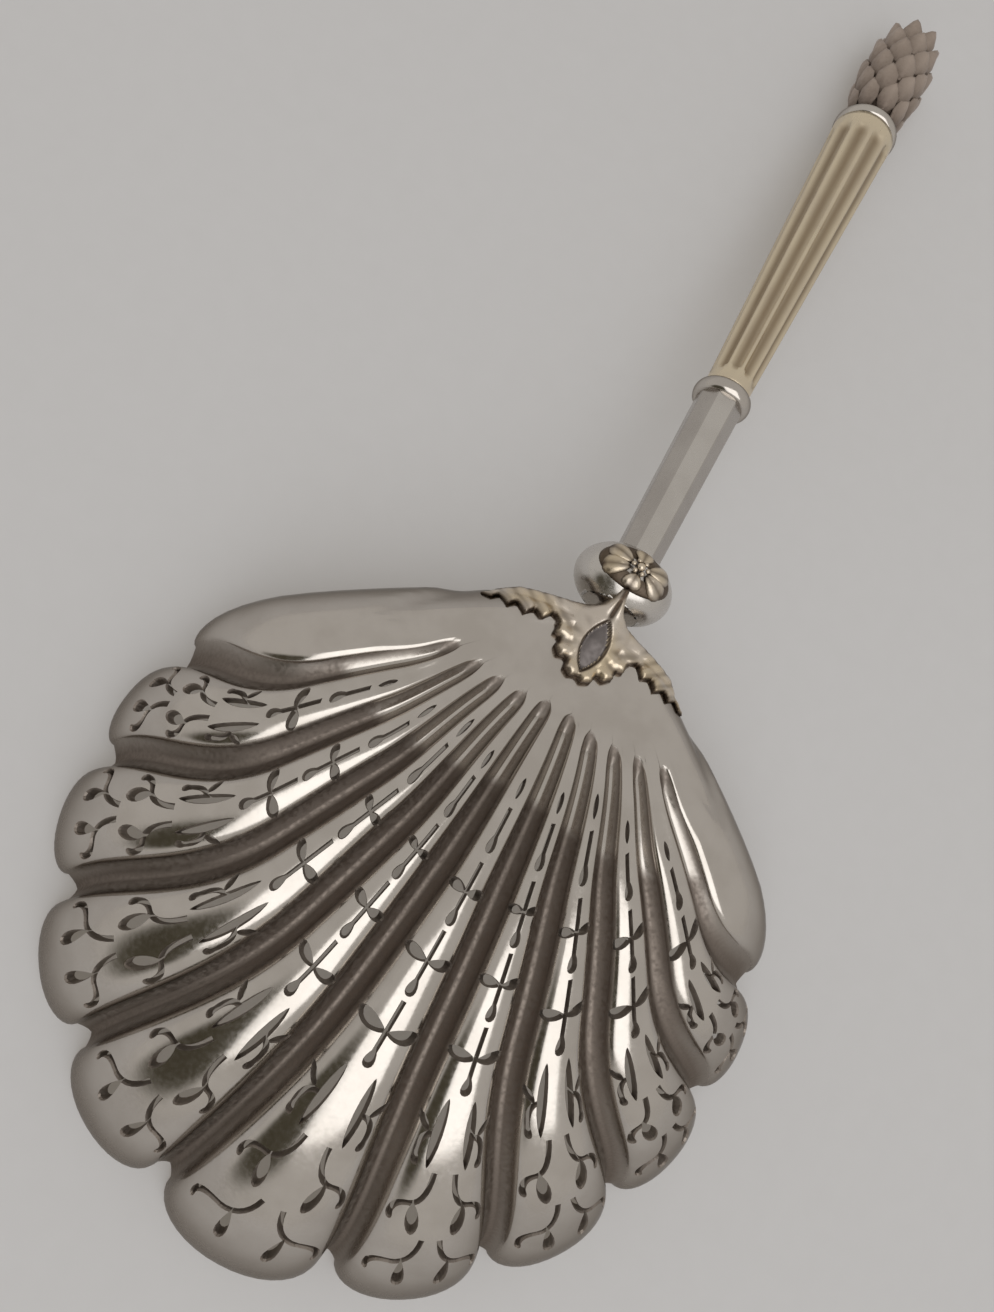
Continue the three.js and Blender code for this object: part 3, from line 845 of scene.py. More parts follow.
@dataclass(frozen=True)
class GrooveTarnishAndShade:
    """Darkening on the bowl: tarnish and painted shade in the grooves, painted contact shadow at the rim.

    Pairs are the ends of ramps: across a lobe from its crest, in shares of the way to the rim, or in
    millimetres past the heads of the grooves.
    """

    start: Point = (7.6, 9.0)
    # Tarnish and painted shade in the groove bottoms.
    bottom: Point = (0.64, 0.96)
    # Painted shade down the lobes' flanks, set further out on the rolls and towards the rim.
    flank: float = 0.33
    flank_run: float = 0.45
    flank_shift: float = 0.3
    flank_shift_rim: Point = (0.55, 0.9)
    # Painted shade lines along the grooves' edges near their heads.
    hairline: float = 0.8
    hairline_width: float = 0.075
    hairline_start: Point = (0.0, 0.5)
    hairline_end: Point = (12.0, 8.0)
    # Painted shade round the heads of the grooves.
    tip: float = 0.9
    tip_across: Point = (0.76, 0.84)
    tip_start: Point = (0.0, 0.2)
    tip_end: Point = (2.4, 0.8)
    # Painted contact shadow along the rim.
    rim: float = 0.45
    rim_shadow_start: Point = (0.93, 1.0)

    def spread(self, form: ShellForm, column: np.ndarray, share: np.ndarray) -> np.ndarray:
        """Tarnish and painted shade at each place: in the grooves, round their heads and along the rim.

        Args:
            form: shape of the shell.
            column: columns, two to a lobe.
            share: shares of the way to the rim.
        Returns:
            Shares of tarnish and painted shade, from 0 to 1.
        """
        lobe, across = form.lobe_at(column)
        side = np.abs(across)
        past = form.past_head(form.section(column, share)[0], share)
        flank_shift = self.flank_shift * (form.is_roll(lobe) + smoothstep(*self.flank_shift_rim, share))
        # Painted shade down the flanks; tarnish and painted shade in the groove bottoms.
        flank = smoothstep(0.0, self.flank_run, side - self.flank - flank_shift)
        shade_and_tarnish = np.maximum(flank, smoothstep(*self.bottom, side)) * smoothstep(*self.start, past)
        # Painted shade lines along the grooves' edges, and painted shade round their heads.
        hairline = np.exp(-(((side - self.hairline) / self.hairline_width) ** 2))
        hairline *= smoothstep(*self.hairline_start, past) * smoothstep(*self.hairline_end, past)
        tip = self.tip * smoothstep(*self.tip_across, side)
        tip *= smoothstep(*self.tip_start, past) * smoothstep(*self.tip_end, past)
        shade_and_tarnish = np.maximum.reduce((shade_and_tarnish, hairline, tip))
        shade_and_tarnish[form.on_plain_side(lobe, across)] = 0.0
        # Painted contact shadow along the rim.
        return np.maximum(shade_and_tarnish, self.rim * smoothstep(*self.rim_shadow_start, share))


class Skin(IntEnum):
    """Kinds of face of the bowl, in the order of its finishes."""

    OUTER = 0
    INNER = 1
    SAWN = 2


@dataclass
class ShellBowl:
    """Bowl of the spoon: a sheet pierced flat, then bent to the shell."""

    form: ShellForm = field(default_factory=ShellForm)
    shade_and_tarnish: GrooveTarnishAndShade = field(default_factory=GrooveTarnishAndShade)
    pattern_start: tuple[float, ...] = (0.385, 0.385, 0.41, 0.46, 0.55)
    pattern_end: float = 0.965
    crosses: tuple[int, ...] = (3, 3, 2, 2, 1)
    flat_length: float = 60.0
    dome_steps: int = 20
    groove_steps: int = 3
    roll_steps: int = 14
    row_bands: tuple[Span, ...] = ((0.0, 0.1, 4), (0.1, 0.36, 60), (0.36, 0.92, 46))
    rim_band: float = 0.08
    rim_steps: int = 16
    leaf_sides: int = 16
    leaf_point: float = 0.5
    leaf_breadth: float = 1.5
    drop_taper: Point = (0.62, 0.38)
    slit_steps: int = 7
    saw_reach: float = 1.0
    saw_width: float = 0.24
    usual_cell: float = 6.0
    least_width: float = 0.7
    flare: float = 0.06
    flare_depth: float = 0.2
    dome_limit: float = 0.96
    skin_depth: float = 0.02

    def columns(self) -> np.ndarray:
        """Columns of the flat sheet, close together where the section turns.

        Returns:
            The columns, two to a lobe.
        """
        dome, groove = self.form.dome_columns, self.groove_steps
        lobe = ruled((-1.0, -dome, groove), (-dome, dome, self.dome_steps), (dome, 1.0, groove))
        roll = np.concatenate((lobe[lobe < 0.0], np.linspace(0.0, 1.0, self.roll_steps + 1)))
        last = 2.0 * (self.form.lobes - 1)
        middle = [lobe + 2.0 * i for i in range(1, self.form.lobes - 1)]
        return np.concatenate((-roll[::-1][:-1], *middle, roll + last))

    def shares(self) -> np.ndarray:
        """Rows of the flat sheet, close together at the heads of the grooves and at the rim."""
        rim = 1.0 - self.rim_band * (1.0 - np.linspace(0.0, 1.0, self.rim_steps + 1)) ** 2
        return np.concatenate((ruled(*self.row_bands), rim))

    def flat_sheet(self) -> bpy.types.Object:
        """Closed flat sheet, ruled in columns and rows.

        Returns:
            An object that is not part of the scene's result.
        """
        columns, shares = self.columns(), self.shares()
        shape = bmesh.new()
        bmesh.ops.create_grid(shape, x_segments=len(columns) - 1, y_segments=len(shares) - 1, size=1.0)
        for vert in shape.verts:
            column = round((vert.co.x + 1.0) / 2.0 * (len(columns) - 1))
            row = round((vert.co.y + 1.0) / 2.0 * (len(shares) - 1))
            vert.co = (columns[column], shares[row] * self.flat_length, 0.0)
        return thickened(shape, -self.form.sheet, "flat_sheet")

    def cells(self) -> list[tuple[int, Motif, float, float]]:
        """Cells of the pattern.

        Returns:
            For each cell its lobe, its motif, and the shares at its rim side and its heel side.
        """
        made = []
        for lobe in range(1, self.form.lobes - 1):
            aside = abs(lobe - len(self.form.grooves))
            rows = [
                Motif.DROP, *[Motif.CROSS] * self.crosses[aside],
                Motif.LONG_LEAVES, Motif.UPPER_SPRIGS, Motif.LOWER_SPRIGS,
            ]
            start = self.pattern_start[aside]
            step = (self.pattern_end - start) / (len(rows) - 1)
            for row, motif in enumerate(rows):
                made.append((lobe, motif, start + step * row, start + step * (row - 1)))
        return made

    def draw(self, saw: BMesh, opening: Opening, scale: Point, flare: float) -> list[BMVert]:
        """Draws an opening as flat faces, in millimetres from the middle of its cell's rim side.

        Args:
            saw: the shape to draw in.
            opening: what to draw.
            scale: width and length of the cell.
            flare: how much wider than the opening it is drawn all round.
        Returns:
            The new vertices.
        """
        points = [Vector((x * scale[0], y * scale[1], 0.0)) for x, y in opening.points]
        fineness = max(self.least_width, min(abs(scale[0]) / self.usual_cell, 1.0))
        width = max(opening.width * fineness, self.saw_width)
        if opening.cut is Cut.LEAF:
            return self.add_leaf(saw, points, width, opening.roundness, flare)
        return self.add_slit(saw, points, width, flare)

    def add_leaf(
        self, saw: BMesh, points: list[Vector], width: float, roundness: float, flare: float
    ) -> list[BMVert]:
        """Draws a leaf or drop by drawing in a circle.

        Args:
            saw: the shape to draw in.
            points: foot and tip.
            width: greatest width.
            roundness: 0 for a pointed tip and 1 for a round one.
            flare: how much wider it is drawn all round.
        Returns:
            The new vertices.
        """
        made = bmesh.ops.create_circle(saw, cap_ends=True, segments=self.leaf_sides, radius=1.0)["verts"]
        heading = points[-1] - points[0]
        half_length = heading.length / 2.0
        half_width = min(width, self.leaf_breadth * half_length) / 2.0
        for vert in made:
            along, across = vert.co.y, vert.co.x
            pointed = abs(across) ** self.leaf_point
            dropped = self.drop_taper[0] + self.drop_taper[1] * along
            taper = pointed + (dropped - pointed) * roundness
            vert.co = (across * (taper * half_width + flare), along * (half_length + flare), 0.0)
        turn = Matrix.Rotation(-math.atan2(heading.x, heading.y), 4, "Z")
        place = Matrix.Translation((points[0] + points[-1]) / 2.0)
        bmesh.ops.transform(saw, matrix=place @ turn, verts=made)
        return made

    def add_slit(self, saw: BMesh, points: list[Vector], width: float, flare: float) -> list[BMVert]:
        """Draws a curved slit by drawing an edge along its path.

        Args:
            saw: the shape to draw in.
            points: start, bend and end of the path.
            width: width of the slit.
            flare: how much wider it is drawn all round.
        Returns:
            The new vertices.
        """
        start, bend, end = points
        start = start + (start - bend).normalized() * flare
        end = end + (end - bend).normalized() * flare
        made: list[BMVert] = []
        edge: BMEdge | None = None
        for step in range(self.slit_steps + 1):
            share = step / self.slit_steps
            place = start * (1.0 - share) ** 2 + bend * (2.0 * share * (1.0 - share)) + end * share**2
            along = (bend - start) * (1.0 - share) + (end - bend) * share
            side = Vector((-along.y, along.x, 0.0)).normalized() * (width / 2.0 + flare)
            if edge is None:
                pair = [saw.verts.new(place + side), saw.verts.new(place - side)]
                edge = saw.edges.new(pair)
            else:
                grown = bmesh.ops.extrude_edge_only(saw, edges=[edge])["geom"]
                edge = next(item for item in grown if isinstance(item, BMEdge))
                pair = sorted(edge.verts, key=lambda vert: (vert.co - made[-2].co).length)
                pair[0].co, pair[1].co = place + side, place - side
            made.extend(pair)
        return made

    def dome_half(self, lobe: int, right: bool, share: np.ndarray) -> float:
        """Half the width in plan of a lobe's dome.

        Args:
            lobe: number of the lobe.
            right: whether the half is right of the crest.
            share: share of the way to the rim.
        Returns:
            The distance.
        """
        form = self.form
        edge = form.bounds[lobe + right]
        return float(form.half_width(form.crests[lobe], edge, share) - form.groove(edge, share))

    def onto_sheet(self, verts: list[BMVert], lobe: int, share_at_rim_side: float) -> None:
        """Moves drawn vertices from a cell's millimetres to the flat sheet.

        Args:
            verts: the vertices.
            lobe: number of the lobe.
            share_at_rim_side: share where the cell starts.
        """
        reach = float(self.form.reach(self.form.crests[lobe]))
        for vert in verts:
            share = np.array(share_at_rim_side - vert.co.y / reach)
            off = vert.co.x / self.dome_half(lobe, vert.co.x > 0.0, share)
            turn = math.asin(max(-self.dome_limit, min(self.dome_limit, off)))
            vert.co.x = 2.0 * lobe + self.form.dome_columns * turn / (math.pi / 2.0)
            vert.co.y = share * self.flat_length

    def outlines(self, cut: Cut, flare: float) -> BMesh:
        """Draws all openings of one pass on the flat sheet.

        Args:
            cut: the pass.
            flare: how much wider than the openings they are drawn all round.
        Returns:
            The flat faces.
        """
        drawn = bmesh.new()
        for lobe, motif, rim_side, heel_side in self.cells():
            reach = float(self.form.reach(self.form.crests[lobe]))
            dome = self.dome_half(lobe, True, np.array((rim_side + heel_side) / 2.0))
            scale = (2.0 * dome, reach * (rim_side - heel_side))
            on_crest, mirrored = motif.value
            for side, openings in ((1.0, on_crest), (1.0, mirrored), (-1.0, mirrored)):
                for opening in openings:
                    if opening.cut is cut:
                        verts = self.draw(drawn, opening, (side * scale[0], scale[1]), flare)
                        self.onto_sheet(verts, lobe, rim_side)
        return drawn

    def saw(self, cut: Cut) -> bpy.types.Object:
        """Prisms that saw the openings of one pass, flared at the outer skin so that the edges are broken.

        Args:
            cut: the pass.
        Returns:
            An object that is not part of the scene's result.
        """
        nominal = self.outlines(cut, 0.0)
        places = [vert.co.copy() for vert in nominal.verts]
        nominal.free()
        shape = self.outlines(cut, self.flare)
        number = shape.verts.layers.int.new("number")
        for index, vert in enumerate(shape.verts):
            vert[number] = index
            vert.co.z = self.saw_reach
        ends = shape.faces[:]
        floor = -self.form.sheet - self.saw_reach
        for depth, flared in ((0.0, True), (-self.flare_depth, False), (floor, False)):
            grown = bmesh.ops.extrude_face_region(shape, geom=ends)["geom"]
            if not flared:
                bmesh.ops.delete(shape, geom=ends, context="FACES_KEEP_BOUNDARY")
            ends = [item for item in grown if isinstance(item, BMFace)]
            for vert in (item for item in grown if isinstance(item, BMVert)):
                if not flared:
                    vert.co = places[vert[number]]
                vert.co.z = depth
        bmesh.ops.recalc_face_normals(shape, faces=shape.faces)
        mesh = baked(shape, f"saw_{cut.name.lower()}")
        return bpy.data.objects.new(mesh.name, mesh)

    def pierced_sheet(self) -> bpy.types.Mesh:
        """Flat sheet with the openings sawn out."""
        return combined(self.flat_sheet(), [self.saw(cut) for cut in Cut], "DIFFERENCE")

    def build(self) -> bpy.types.Object:
        """Makes the bowl.

        Returns:
            The dressed object.
        """
        mesh = self.pierced_sheet()
        flat = points_of(mesh)
        column, share = flat[:, 0], np.clip(flat[:, 1] / self.flat_length, 0.0, 1.0)
        depth = np.clip(-flat[:, 2], 0.0, self.form.sheet)
        lay_from_heel(mesh, self.form.wrap(column, share, depth))
        # Tarnish in the grooves, painted shade on the flanks and round the heads, and a painted contact
        # shadow along the rim.
        set_shade_and_tarnish(mesh, self.shade_and_tarnish.spread(self.form, column, share))
        mesh.flip_normals()
        mesh.update()
        self.dress(mesh, column, share, depth)
        return Piece("shell_bowl_pierced", "shell_bowl", Slot.SILVER,
                     (POLISHED_SILVER, INNER_SILVER, SAWN_SILVER)).place(mesh)

    def dress(self, mesh: bpy.types.Mesh, column: np.ndarray, share: np.ndarray, depth: np.ndarray) -> None:
        """Sorts the faces into outer skin, inner skin and sawn edges, and shades the skins smoothly.

        Args:
            mesh: the bent mesh.
            column: column of each vertex.
            share: share of each vertex.
            depth: depth of each vertex.
        """
        outward = self.form.outward(column, share)
        corner_vert = np.empty(len(mesh.loops), dtype=int)
        mesh.loops.foreach_get("vertex_index", corner_vert)
        totals = np.empty(len(mesh.polygons), dtype=int)
        mesh.polygons.foreach_get("loop_total", totals)
        corner_face = np.repeat(np.arange(len(totals)), totals)
        corner_depth = depth[corner_vert]
        on_top = np.bincount(corner_face, corner_depth < self.skin_depth) == totals
        on_floor = np.bincount(corner_face, corner_depth > self.form.sheet - self.skin_depth) == totals
        kind = np.where(on_top, Skin.OUTER, np.where(on_floor, Skin.INNER, Skin.SAWN)).astype(np.int32)
        mesh.polygons.foreach_set("material_index", kind)
        mesh.polygons.foreach_set("use_smooth", np.ones(len(totals), dtype=bool))
        face_normals = np.empty(3 * len(totals))
        mesh.polygons.foreach_get("normal", face_normals)
        shading = face_normals.reshape(-1, 3)[corner_face]
        for skin, way in ((Skin.OUTER, 1.0), (Skin.INNER, -1.0)):
            on_skin = kind[corner_face] == skin
            shading[on_skin] = way * outward[corner_vert[on_skin]]
        mesh.normals_split_custom_set(shading.tolist())


@dataclass(frozen=True)
class HandleAxis:
    """Line of the handle: where each piece on it starts and ends, in millimetres from the knop's middle."""

    knop_to_heel: float = 5.3
    knop_height: float = 12.6
    fit: float = 0.3
    knop_radius: float = 4.8
    knop_depth: float = 7.8
    knop_half_length: float = 3.5
    knop_end_radius: float = 2.6
    stem_length: float = 18.5
    ring_length: float = 1.7
    handle_length: float = 38.0
    collar_length: float = 1.4
    finial_length: float = 15.6
    finial_neck: float = 1.2
    finial_reach: float = 4.0
    belly: float = 0.45

    @property
    def knop_end(self) -> float:
        """Half the length of the knop."""
        return self.knop_half_length * math.sqrt(1.0 - (self.knop_end_radius / self.knop_radius) ** 2)

    @property
    def ring_start(self) -> float:
        """Where the ring at the foot of the handle starts."""
        return self.knop_end + self.stem_length + 2.0 * self.fit

    @property
    def handle_start(self) -> float:
        """Where the fluted handle starts."""
        return self.ring_start + self.ring_length + self.fit

    @property
    def collar_start(self) -> float:
        """Where the collar under the finial starts."""
        return self.handle_start + self.handle_length + self.fit

    @property
    def finial_start(self) -> float:
        """Where the finial starts."""
        return self.collar_start + self.collar_length + self.fit

    @property
    def slope(self) -> float:
        """Fall of the handle from the knop to the table.

        Returns:
            The angle in radians.
        """
        from_neck = self.belly * (self.finial_length - self.finial_neck)
        belly_at = self.finial_start + self.finial_neck + from_neck
        span = math.hypot(belly_at, self.finial_reach)
        return math.asin(self.knop_height / span) - math.atan2(self.finial_reach, belly_at)

    def to_frame(self) -> Matrix:
        """Place of the axis in the frame, with its line along Y."""
        middle = heel_of_bowl() + Vector((0.0, self.knop_to_heel, self.knop_height))
        return Matrix.Translation(middle) @ Matrix.Rotation(-self.slope, 4, "X")


def spun(profile: list[Point], steps: int) -> BMesh:
    """Turns a profile about the Y axis.

    Args:
        profile: radius and place along the axis of each point, both ends on the axis or joined by caps.
        steps: number of steps in the turn.
    Returns:
        The closed shape.
    """
    shape = bmesh.new()
    verts = [shape.verts.new((radius, along, 0.0)) for radius, along in profile]
    edges = [shape.edges.new(pair) for pair in zip(verts, verts[1:])]
    bmesh.ops.spin(
        shape, geom=verts + edges, cent=(0.0, 0.0, 0.0), axis=(0.0, 1.0, 0.0),
        angle=2.0 * math.pi, steps=steps, use_merge=True,
    )
    bmesh.ops.remove_doubles(shape, verts=shape.verts, dist=WELD)
    bmesh.ops.holes_fill(shape, edges=shape.edges)
    bmesh.ops.recalc_face_normals(shape, faces=shape.faces)
    return shape


def add_rod(shape: BMesh, sides: int, radii: Point, ends: Point, turn: float = 0.0) -> None:
    """Adds a capped rod along the Y axis.

    Args:
        shape: the shape to add to.
        sides: number of its sides.
        radii: radius at its start and at its end.
        ends: where it starts and ends.
        turn: angle that it is turned about the axis.
    """
    made = bmesh.ops.create_cone(
        shape, cap_ends=True, segments=sides, radius1=radii[0], radius2=radii[1], depth=ends[1] - ends[0]
    )["verts"]
    place = (
        Matrix.Translation((0.0, sum(ends) / 2.0, 0.0))
        @ Matrix.Rotation(-math.pi / 2.0, 4, "X")
        @ Matrix.Rotation(turn, 4, "Z")
    )
    bmesh.ops.transform(shape, matrix=place, verts=made)


@dataclass
class Knop:
    """Silver bun between the bowl and the stem."""

    axis: HandleAxis
    sides: int = 64
    rings: int = 48
    corner: float = 0.25
    corner_steps: int = 3

    def build(self) -> bpy.types.Object:
        """Makes the knop.

        Returns:
            The dressed object.
        """
        axis = self.axis
        shape = bmesh.new()
        bmesh.ops.create_uvsphere(shape, u_segments=self.sides, v_segments=self.rings, radius=1.0)
        bmesh.ops.scale(
            shape, vec=(axis.knop_radius, axis.knop_half_length, axis.knop_depth / 2.0), verts=shape.verts
        )
        for side in (-1.0, 1.0):
            cut = bmesh.ops.bisect_plane(
                shape, geom=[*shape.verts, *shape.edges, *shape.faces], clear_outer=True,
                plane_co=(0.0, side * axis.knop_end, 0.0), plane_no=(0.0, side, 0.0),
            )
            rim = [item for item in cut["geom_cut"] if isinstance(item, BMEdge)]
            bmesh.ops.edgeloop_fill(shape, edges=rim)
            round_off(shape, rim, self.corner, self.corner_steps)
        mesh = mesh_of(shape, "knop", axis.to_frame())
        return Piece("knop_bun", "knop", Slot.SILVER, (SATIN_SILVER,)).place(mesh)


@dataclass
class Stem:
    """Faceted silver stem between the knop and the ring, with painted shade on its side facets."""

    axis: HandleAxis
    flats_at_knop: float = 4.1
    flats_at_ring: float = 4.6
    sides: int = 8
    edge: float = 0.16
    edge_steps: int = 2
    tang_radius: float = 1.2
    tang_sides: int = 24
    tang_lap: float = 2.0
    sideways: float = 0.3

    def build(self) -> bpy.types.Object:
        """Makes the stem.

        Returns:
            The dressed object.
        """
        axis = self.axis
        ends = (axis.knop_end - axis.fit, axis.ring_start + axis.fit)
        corner = 0.5 / math.cos(math.pi / self.sides)
        radii = (self.flats_at_knop * corner, self.flats_at_ring * corner)
        shape = bmesh.new()
        add_rod(shape, self.sides, radii, ends, turn=math.pi / self.sides)
        round_off(shape, edges_along(shape, 1), self.edge, self.edge_steps)
        tang_end = -axis.knop_to_heel - self.tang_lap
        add_rod(shape, self.tang_sides, (self.tang_radius, self.tang_radius), (tang_end, 0.0))
        mesh = mesh_of(shape, "stem", axis.to_frame())
        # Facets that face sideways take the darker silver: painted shade on the stem's sides.
        for face in mesh.polygons:
            face.use_smooth = False
            face.material_index = int(abs(face.normal.x) > self.sideways)
        return Piece("stem_faceted", "stem", Slot.SILVER, (SATIN_SILVER, SHADED_SIDE_SILVER)).place(mesh)


@dataclass
class Ferrule:
    """Turned silver ring on the handle."""

    axis: HandleAxis
    node: str
    start: float
    length: float
    radius: float
    bore: float
    steps: int = 56
    arc_steps: int = 10
    bulge: float = 0.7
    face_set_in: float = 0.2

    def build(self) -> bpy.types.Object:
        """Makes the ring.

        Returns:
            The dressed object.
        """
        crown = self.length / 2.0
        swell = self.bulge * crown
        turns = [math.pi * (i / self.arc_steps - 0.5) for i in range(self.arc_steps + 1)]
        arc = [
            (self.radius - swell + swell * math.cos(turn), self.start + crown + crown * math.sin(turn))
            for turn in turns
        ]
        low = self.start + self.face_set_in * crown
        high = self.start + (2.0 - self.face_set_in) * crown
        profile = [(0.0, low), (self.bore, low), *arc, (self.bore, high), (0.0, high)]
        mesh = mesh_of(spun(profile, self.steps), self.node, self.axis.to_frame())
        return Piece(f"{self.node}_turned", self.node, Slot.SILVER, (POLISHED_SILVER,)).place(mesh)


@dataclass
class FlutedHandle:
    """Tapering gilt handle with stopped flutes."""

    axis: HandleAxis
    foot_radius: float = 2.3
    head_radius: float = 3.45
    flutes: int = 10
    flute_depth: float = 0.42
    flute_share: float = 0.8
    flute_stop: float = 1.6
    flute_darkening: float = 0.8
    columns_per_flute: int = 16
    rows: int = 90

    def build(self) -> bpy.types.Object:
        """Makes the handle.

        Returns:
            The dressed object.
        """
        axis = self.axis
        start = axis.handle_start - axis.fit
        length = axis.handle_length + 2.0 * axis.fit
        shape = bmesh.new()
        bmesh.ops.create_cone(
            shape, cap_ends=True, segments=self.flutes * self.columns_per_flute,
            radius1=1.0, radius2=1.0, depth=2.0,
        )
        bmesh.ops.subdivide_edges(shape, edges=edges_along(shape, 2), cuts=self.rows - 1, use_grid_fill=True)
        shade_and_tarnish = shape.verts.layers.float.new(SHADE_AND_TARNISH_ATTRIBUTE)
        for vert in shape.verts:
            share = (vert.co.z + 1.0) / 2.0
            along = share * length
            turn = math.atan2(vert.co.y, vert.co.x)
            radius = self.foot_radius + (self.head_radius - self.foot_radius) * share
            sunk = self.flute(turn, along, length, radius)
            # The flutes are darker towards their middles.
            vert[shade_and_tarnish] = self.flute_darkening * sunk**2
            radius -= self.flute_depth * sunk
            vert.co = (radius * math.cos(turn), start + along, -radius * math.sin(turn))
        mesh = mesh_of(shape, "fluted_handle", axis.to_frame())
        return Piece("handle_fluted", "fluted_handle", Slot.HANDLE_GILT, (SATIN_GILT,)).place(mesh)

    def flute(self, turn: float, along: float, length: float, radius: float) -> float:
        """Share of the full depth of a flute, which ends in a rounded stop.

        Args:
            turn: angle about the axis.
            along: place along the handle.
            length: length of the handle.
            radius: radius of the handle there.
        Returns:
            The share, 0 on the arrises and stops.
        """
        pitch = 2.0 * math.pi / self.flutes
        half = radius * pitch * self.flute_share / 2.0
        off = (turn / pitch + 0.5) % 1.0 - 0.5
        side = off * pitch * radius / half
        inner = min(along, length - along) - self.flute_stop - half
        end = min(inner, 0.0) / half
        return math.sqrt(max(1.0 - side * side - end * end, 0.0))


@dataclass
class Finial:
    """Dull gilt pine cone: a bud on a short neck, with tiers of pointed scales."""

    axis: HandleAxis
    radius: float = 3.4
    neck_radius: float = 2.1
    neck_share: float = 0.09
    bud_length: float = 0.95
    bud_turns: Point = (0.2, 0.88)
    bud_fullness: float = 0.6
    tiers: int = 6
    first_tier: float = 0.55
    tiers_end: float = 0.9
    scales: int = 8
    scale_length: float = 4.2
    scale_width: float = 2.7
    scale_thickness: float = 1.0
    scale_fineness: tuple[int, int] = (10, 8)
    scale_least: float = 0.3
    scale_taper: float = 0.55
    scale_keel: float = 0.45
    scale_shade: float = 0.7
    lean: float = 13.0
    tip_scales: int = 5
    tip_share: float = 0.85
    tip_radius: float = 1.3
    tip_lean: float = -17.0
    tip_darkening: float = 0.15
    profile_steps: int = 28
    sides: int = 48

    def bud(self, share: float) -> float:
        """Outline of the bud.

        Args:
            share: share of the bud's length.
        Returns:
            The radius there.
        """
        if share < self.neck_share:
            return self.neck_radius
        up = (share - self.neck_share) / (1.0 - self.neck_share)
        turn = self.bud_turns[0] + (self.bud_turns[1] - self.bud_turns[0]) * up
        return self.radius * max(math.sin(math.pi * turn), 0.0) ** self.bud_fullness

    def build(self) -> bpy.types.Object:
        """Makes the finial.

        Returns:
            The dressed object.
        """
        axis = self.axis
        length = axis.finial_length
        start = axis.finial_start - axis.fit
        shares = [i / self.profile_steps for i in range(self.profile_steps + 1)]
        profile = [(self.bud(share), start + self.bud_length * share * length) for share in shares]
        shape = spun([(0.0, profile[0][1]), *profile, (0.0, profile[-1][1])], self.sides)
        shade_and_tarnish = shape.verts.layers.float.new(SHADE_AND_TARNISH_ATTRIBUTE)
        # Painted shade on the bud, which shows between and under the scales.
        for vert in shape.verts:
            vert[shade_and_tarnish] = 1.0
        for tier in range(self.tiers):
            up = (tier + self.first_tier) / self.tiers
            share = self.neck_share + up * (self.tiers_end - self.neck_share)
            radius = self.bud(share)
            for number in range(self.scales):
                turn = 2.0 * math.pi * (number + 0.5 * (tier % 2)) / self.scales
                for vert in self.add_scale(shape, turn, radius, start + share * length, self.lean):
                    # Painted shade on each scale, darker the nearer it lies to the bud.
                    vert[shade_and_tarnish] = max(0.0, self.scale_shade - math.hypot(vert.co.x, vert.co.z) + radius)
        tip_at = start + self.tip_share * length
        for number in range(self.tip_scales):
            turn = 2.0 * math.pi * number / self.tip_scales
            for vert in self.add_scale(shape, turn, self.tip_radius, tip_at, self.tip_lean):
                # The small scales at the tip are slightly darkened.
                vert[shade_and_tarnish] = self.tip_darkening
        bmesh.ops.recalc_face_normals(shape, faces=shape.faces)
        mesh = mesh_of(shape, "finial", axis.to_frame())
        for vert in mesh.vertices:
            vert.co.z = max(vert.co.z, 0.0)
        return Piece("finial_cone", "finial", Slot.DULL_GILT, (CONE_GILT,)).place(mesh)

    def add_scale(
        self, shape: BMesh, turn: float, radius: float, along: float, lean: float
    ) -> list[BMVert]:
        """Adds one overlapping scale with a pointed tip and a keel.

        Args:
            shape: the shape to add to.
            turn: angle about the axis.
            radius: distance of its middle from the axis.
            along: place along the axis.
            lean: outward lean of its tip, in degrees.
        Returns:
            The new vertices.
        """
        around, up = self.scale_fineness
        made = bmesh.ops.create_uvsphere(shape, u_segments=around, v_segments=up, radius=1.0)["verts"]
        width = self.scale_width * (self.scale_least + (1.0 - self.scale_least) * radius / self.radius)
        for vert in made:
            narrow = 1.0 - self.scale_taper * max(vert.co.y, 0.0) ** 2
            keel = 1.0 - self.scale_keel * abs(vert.co.x)
            vert.co.x *= narrow * width / 2.0
            vert.co.z *= keel * self.scale_thickness / 2.0
            vert.co.y *= self.scale_length / 2.0
        place = (
            Matrix.Rotation(turn, 4, "Y")
            @ Matrix.Translation((0.0, along, radius))
            @ Matrix.Rotation(math.radians(lean), 4, "X")
        )
        bmesh.ops.transform(shape, matrix=place, verts=made)
        return made


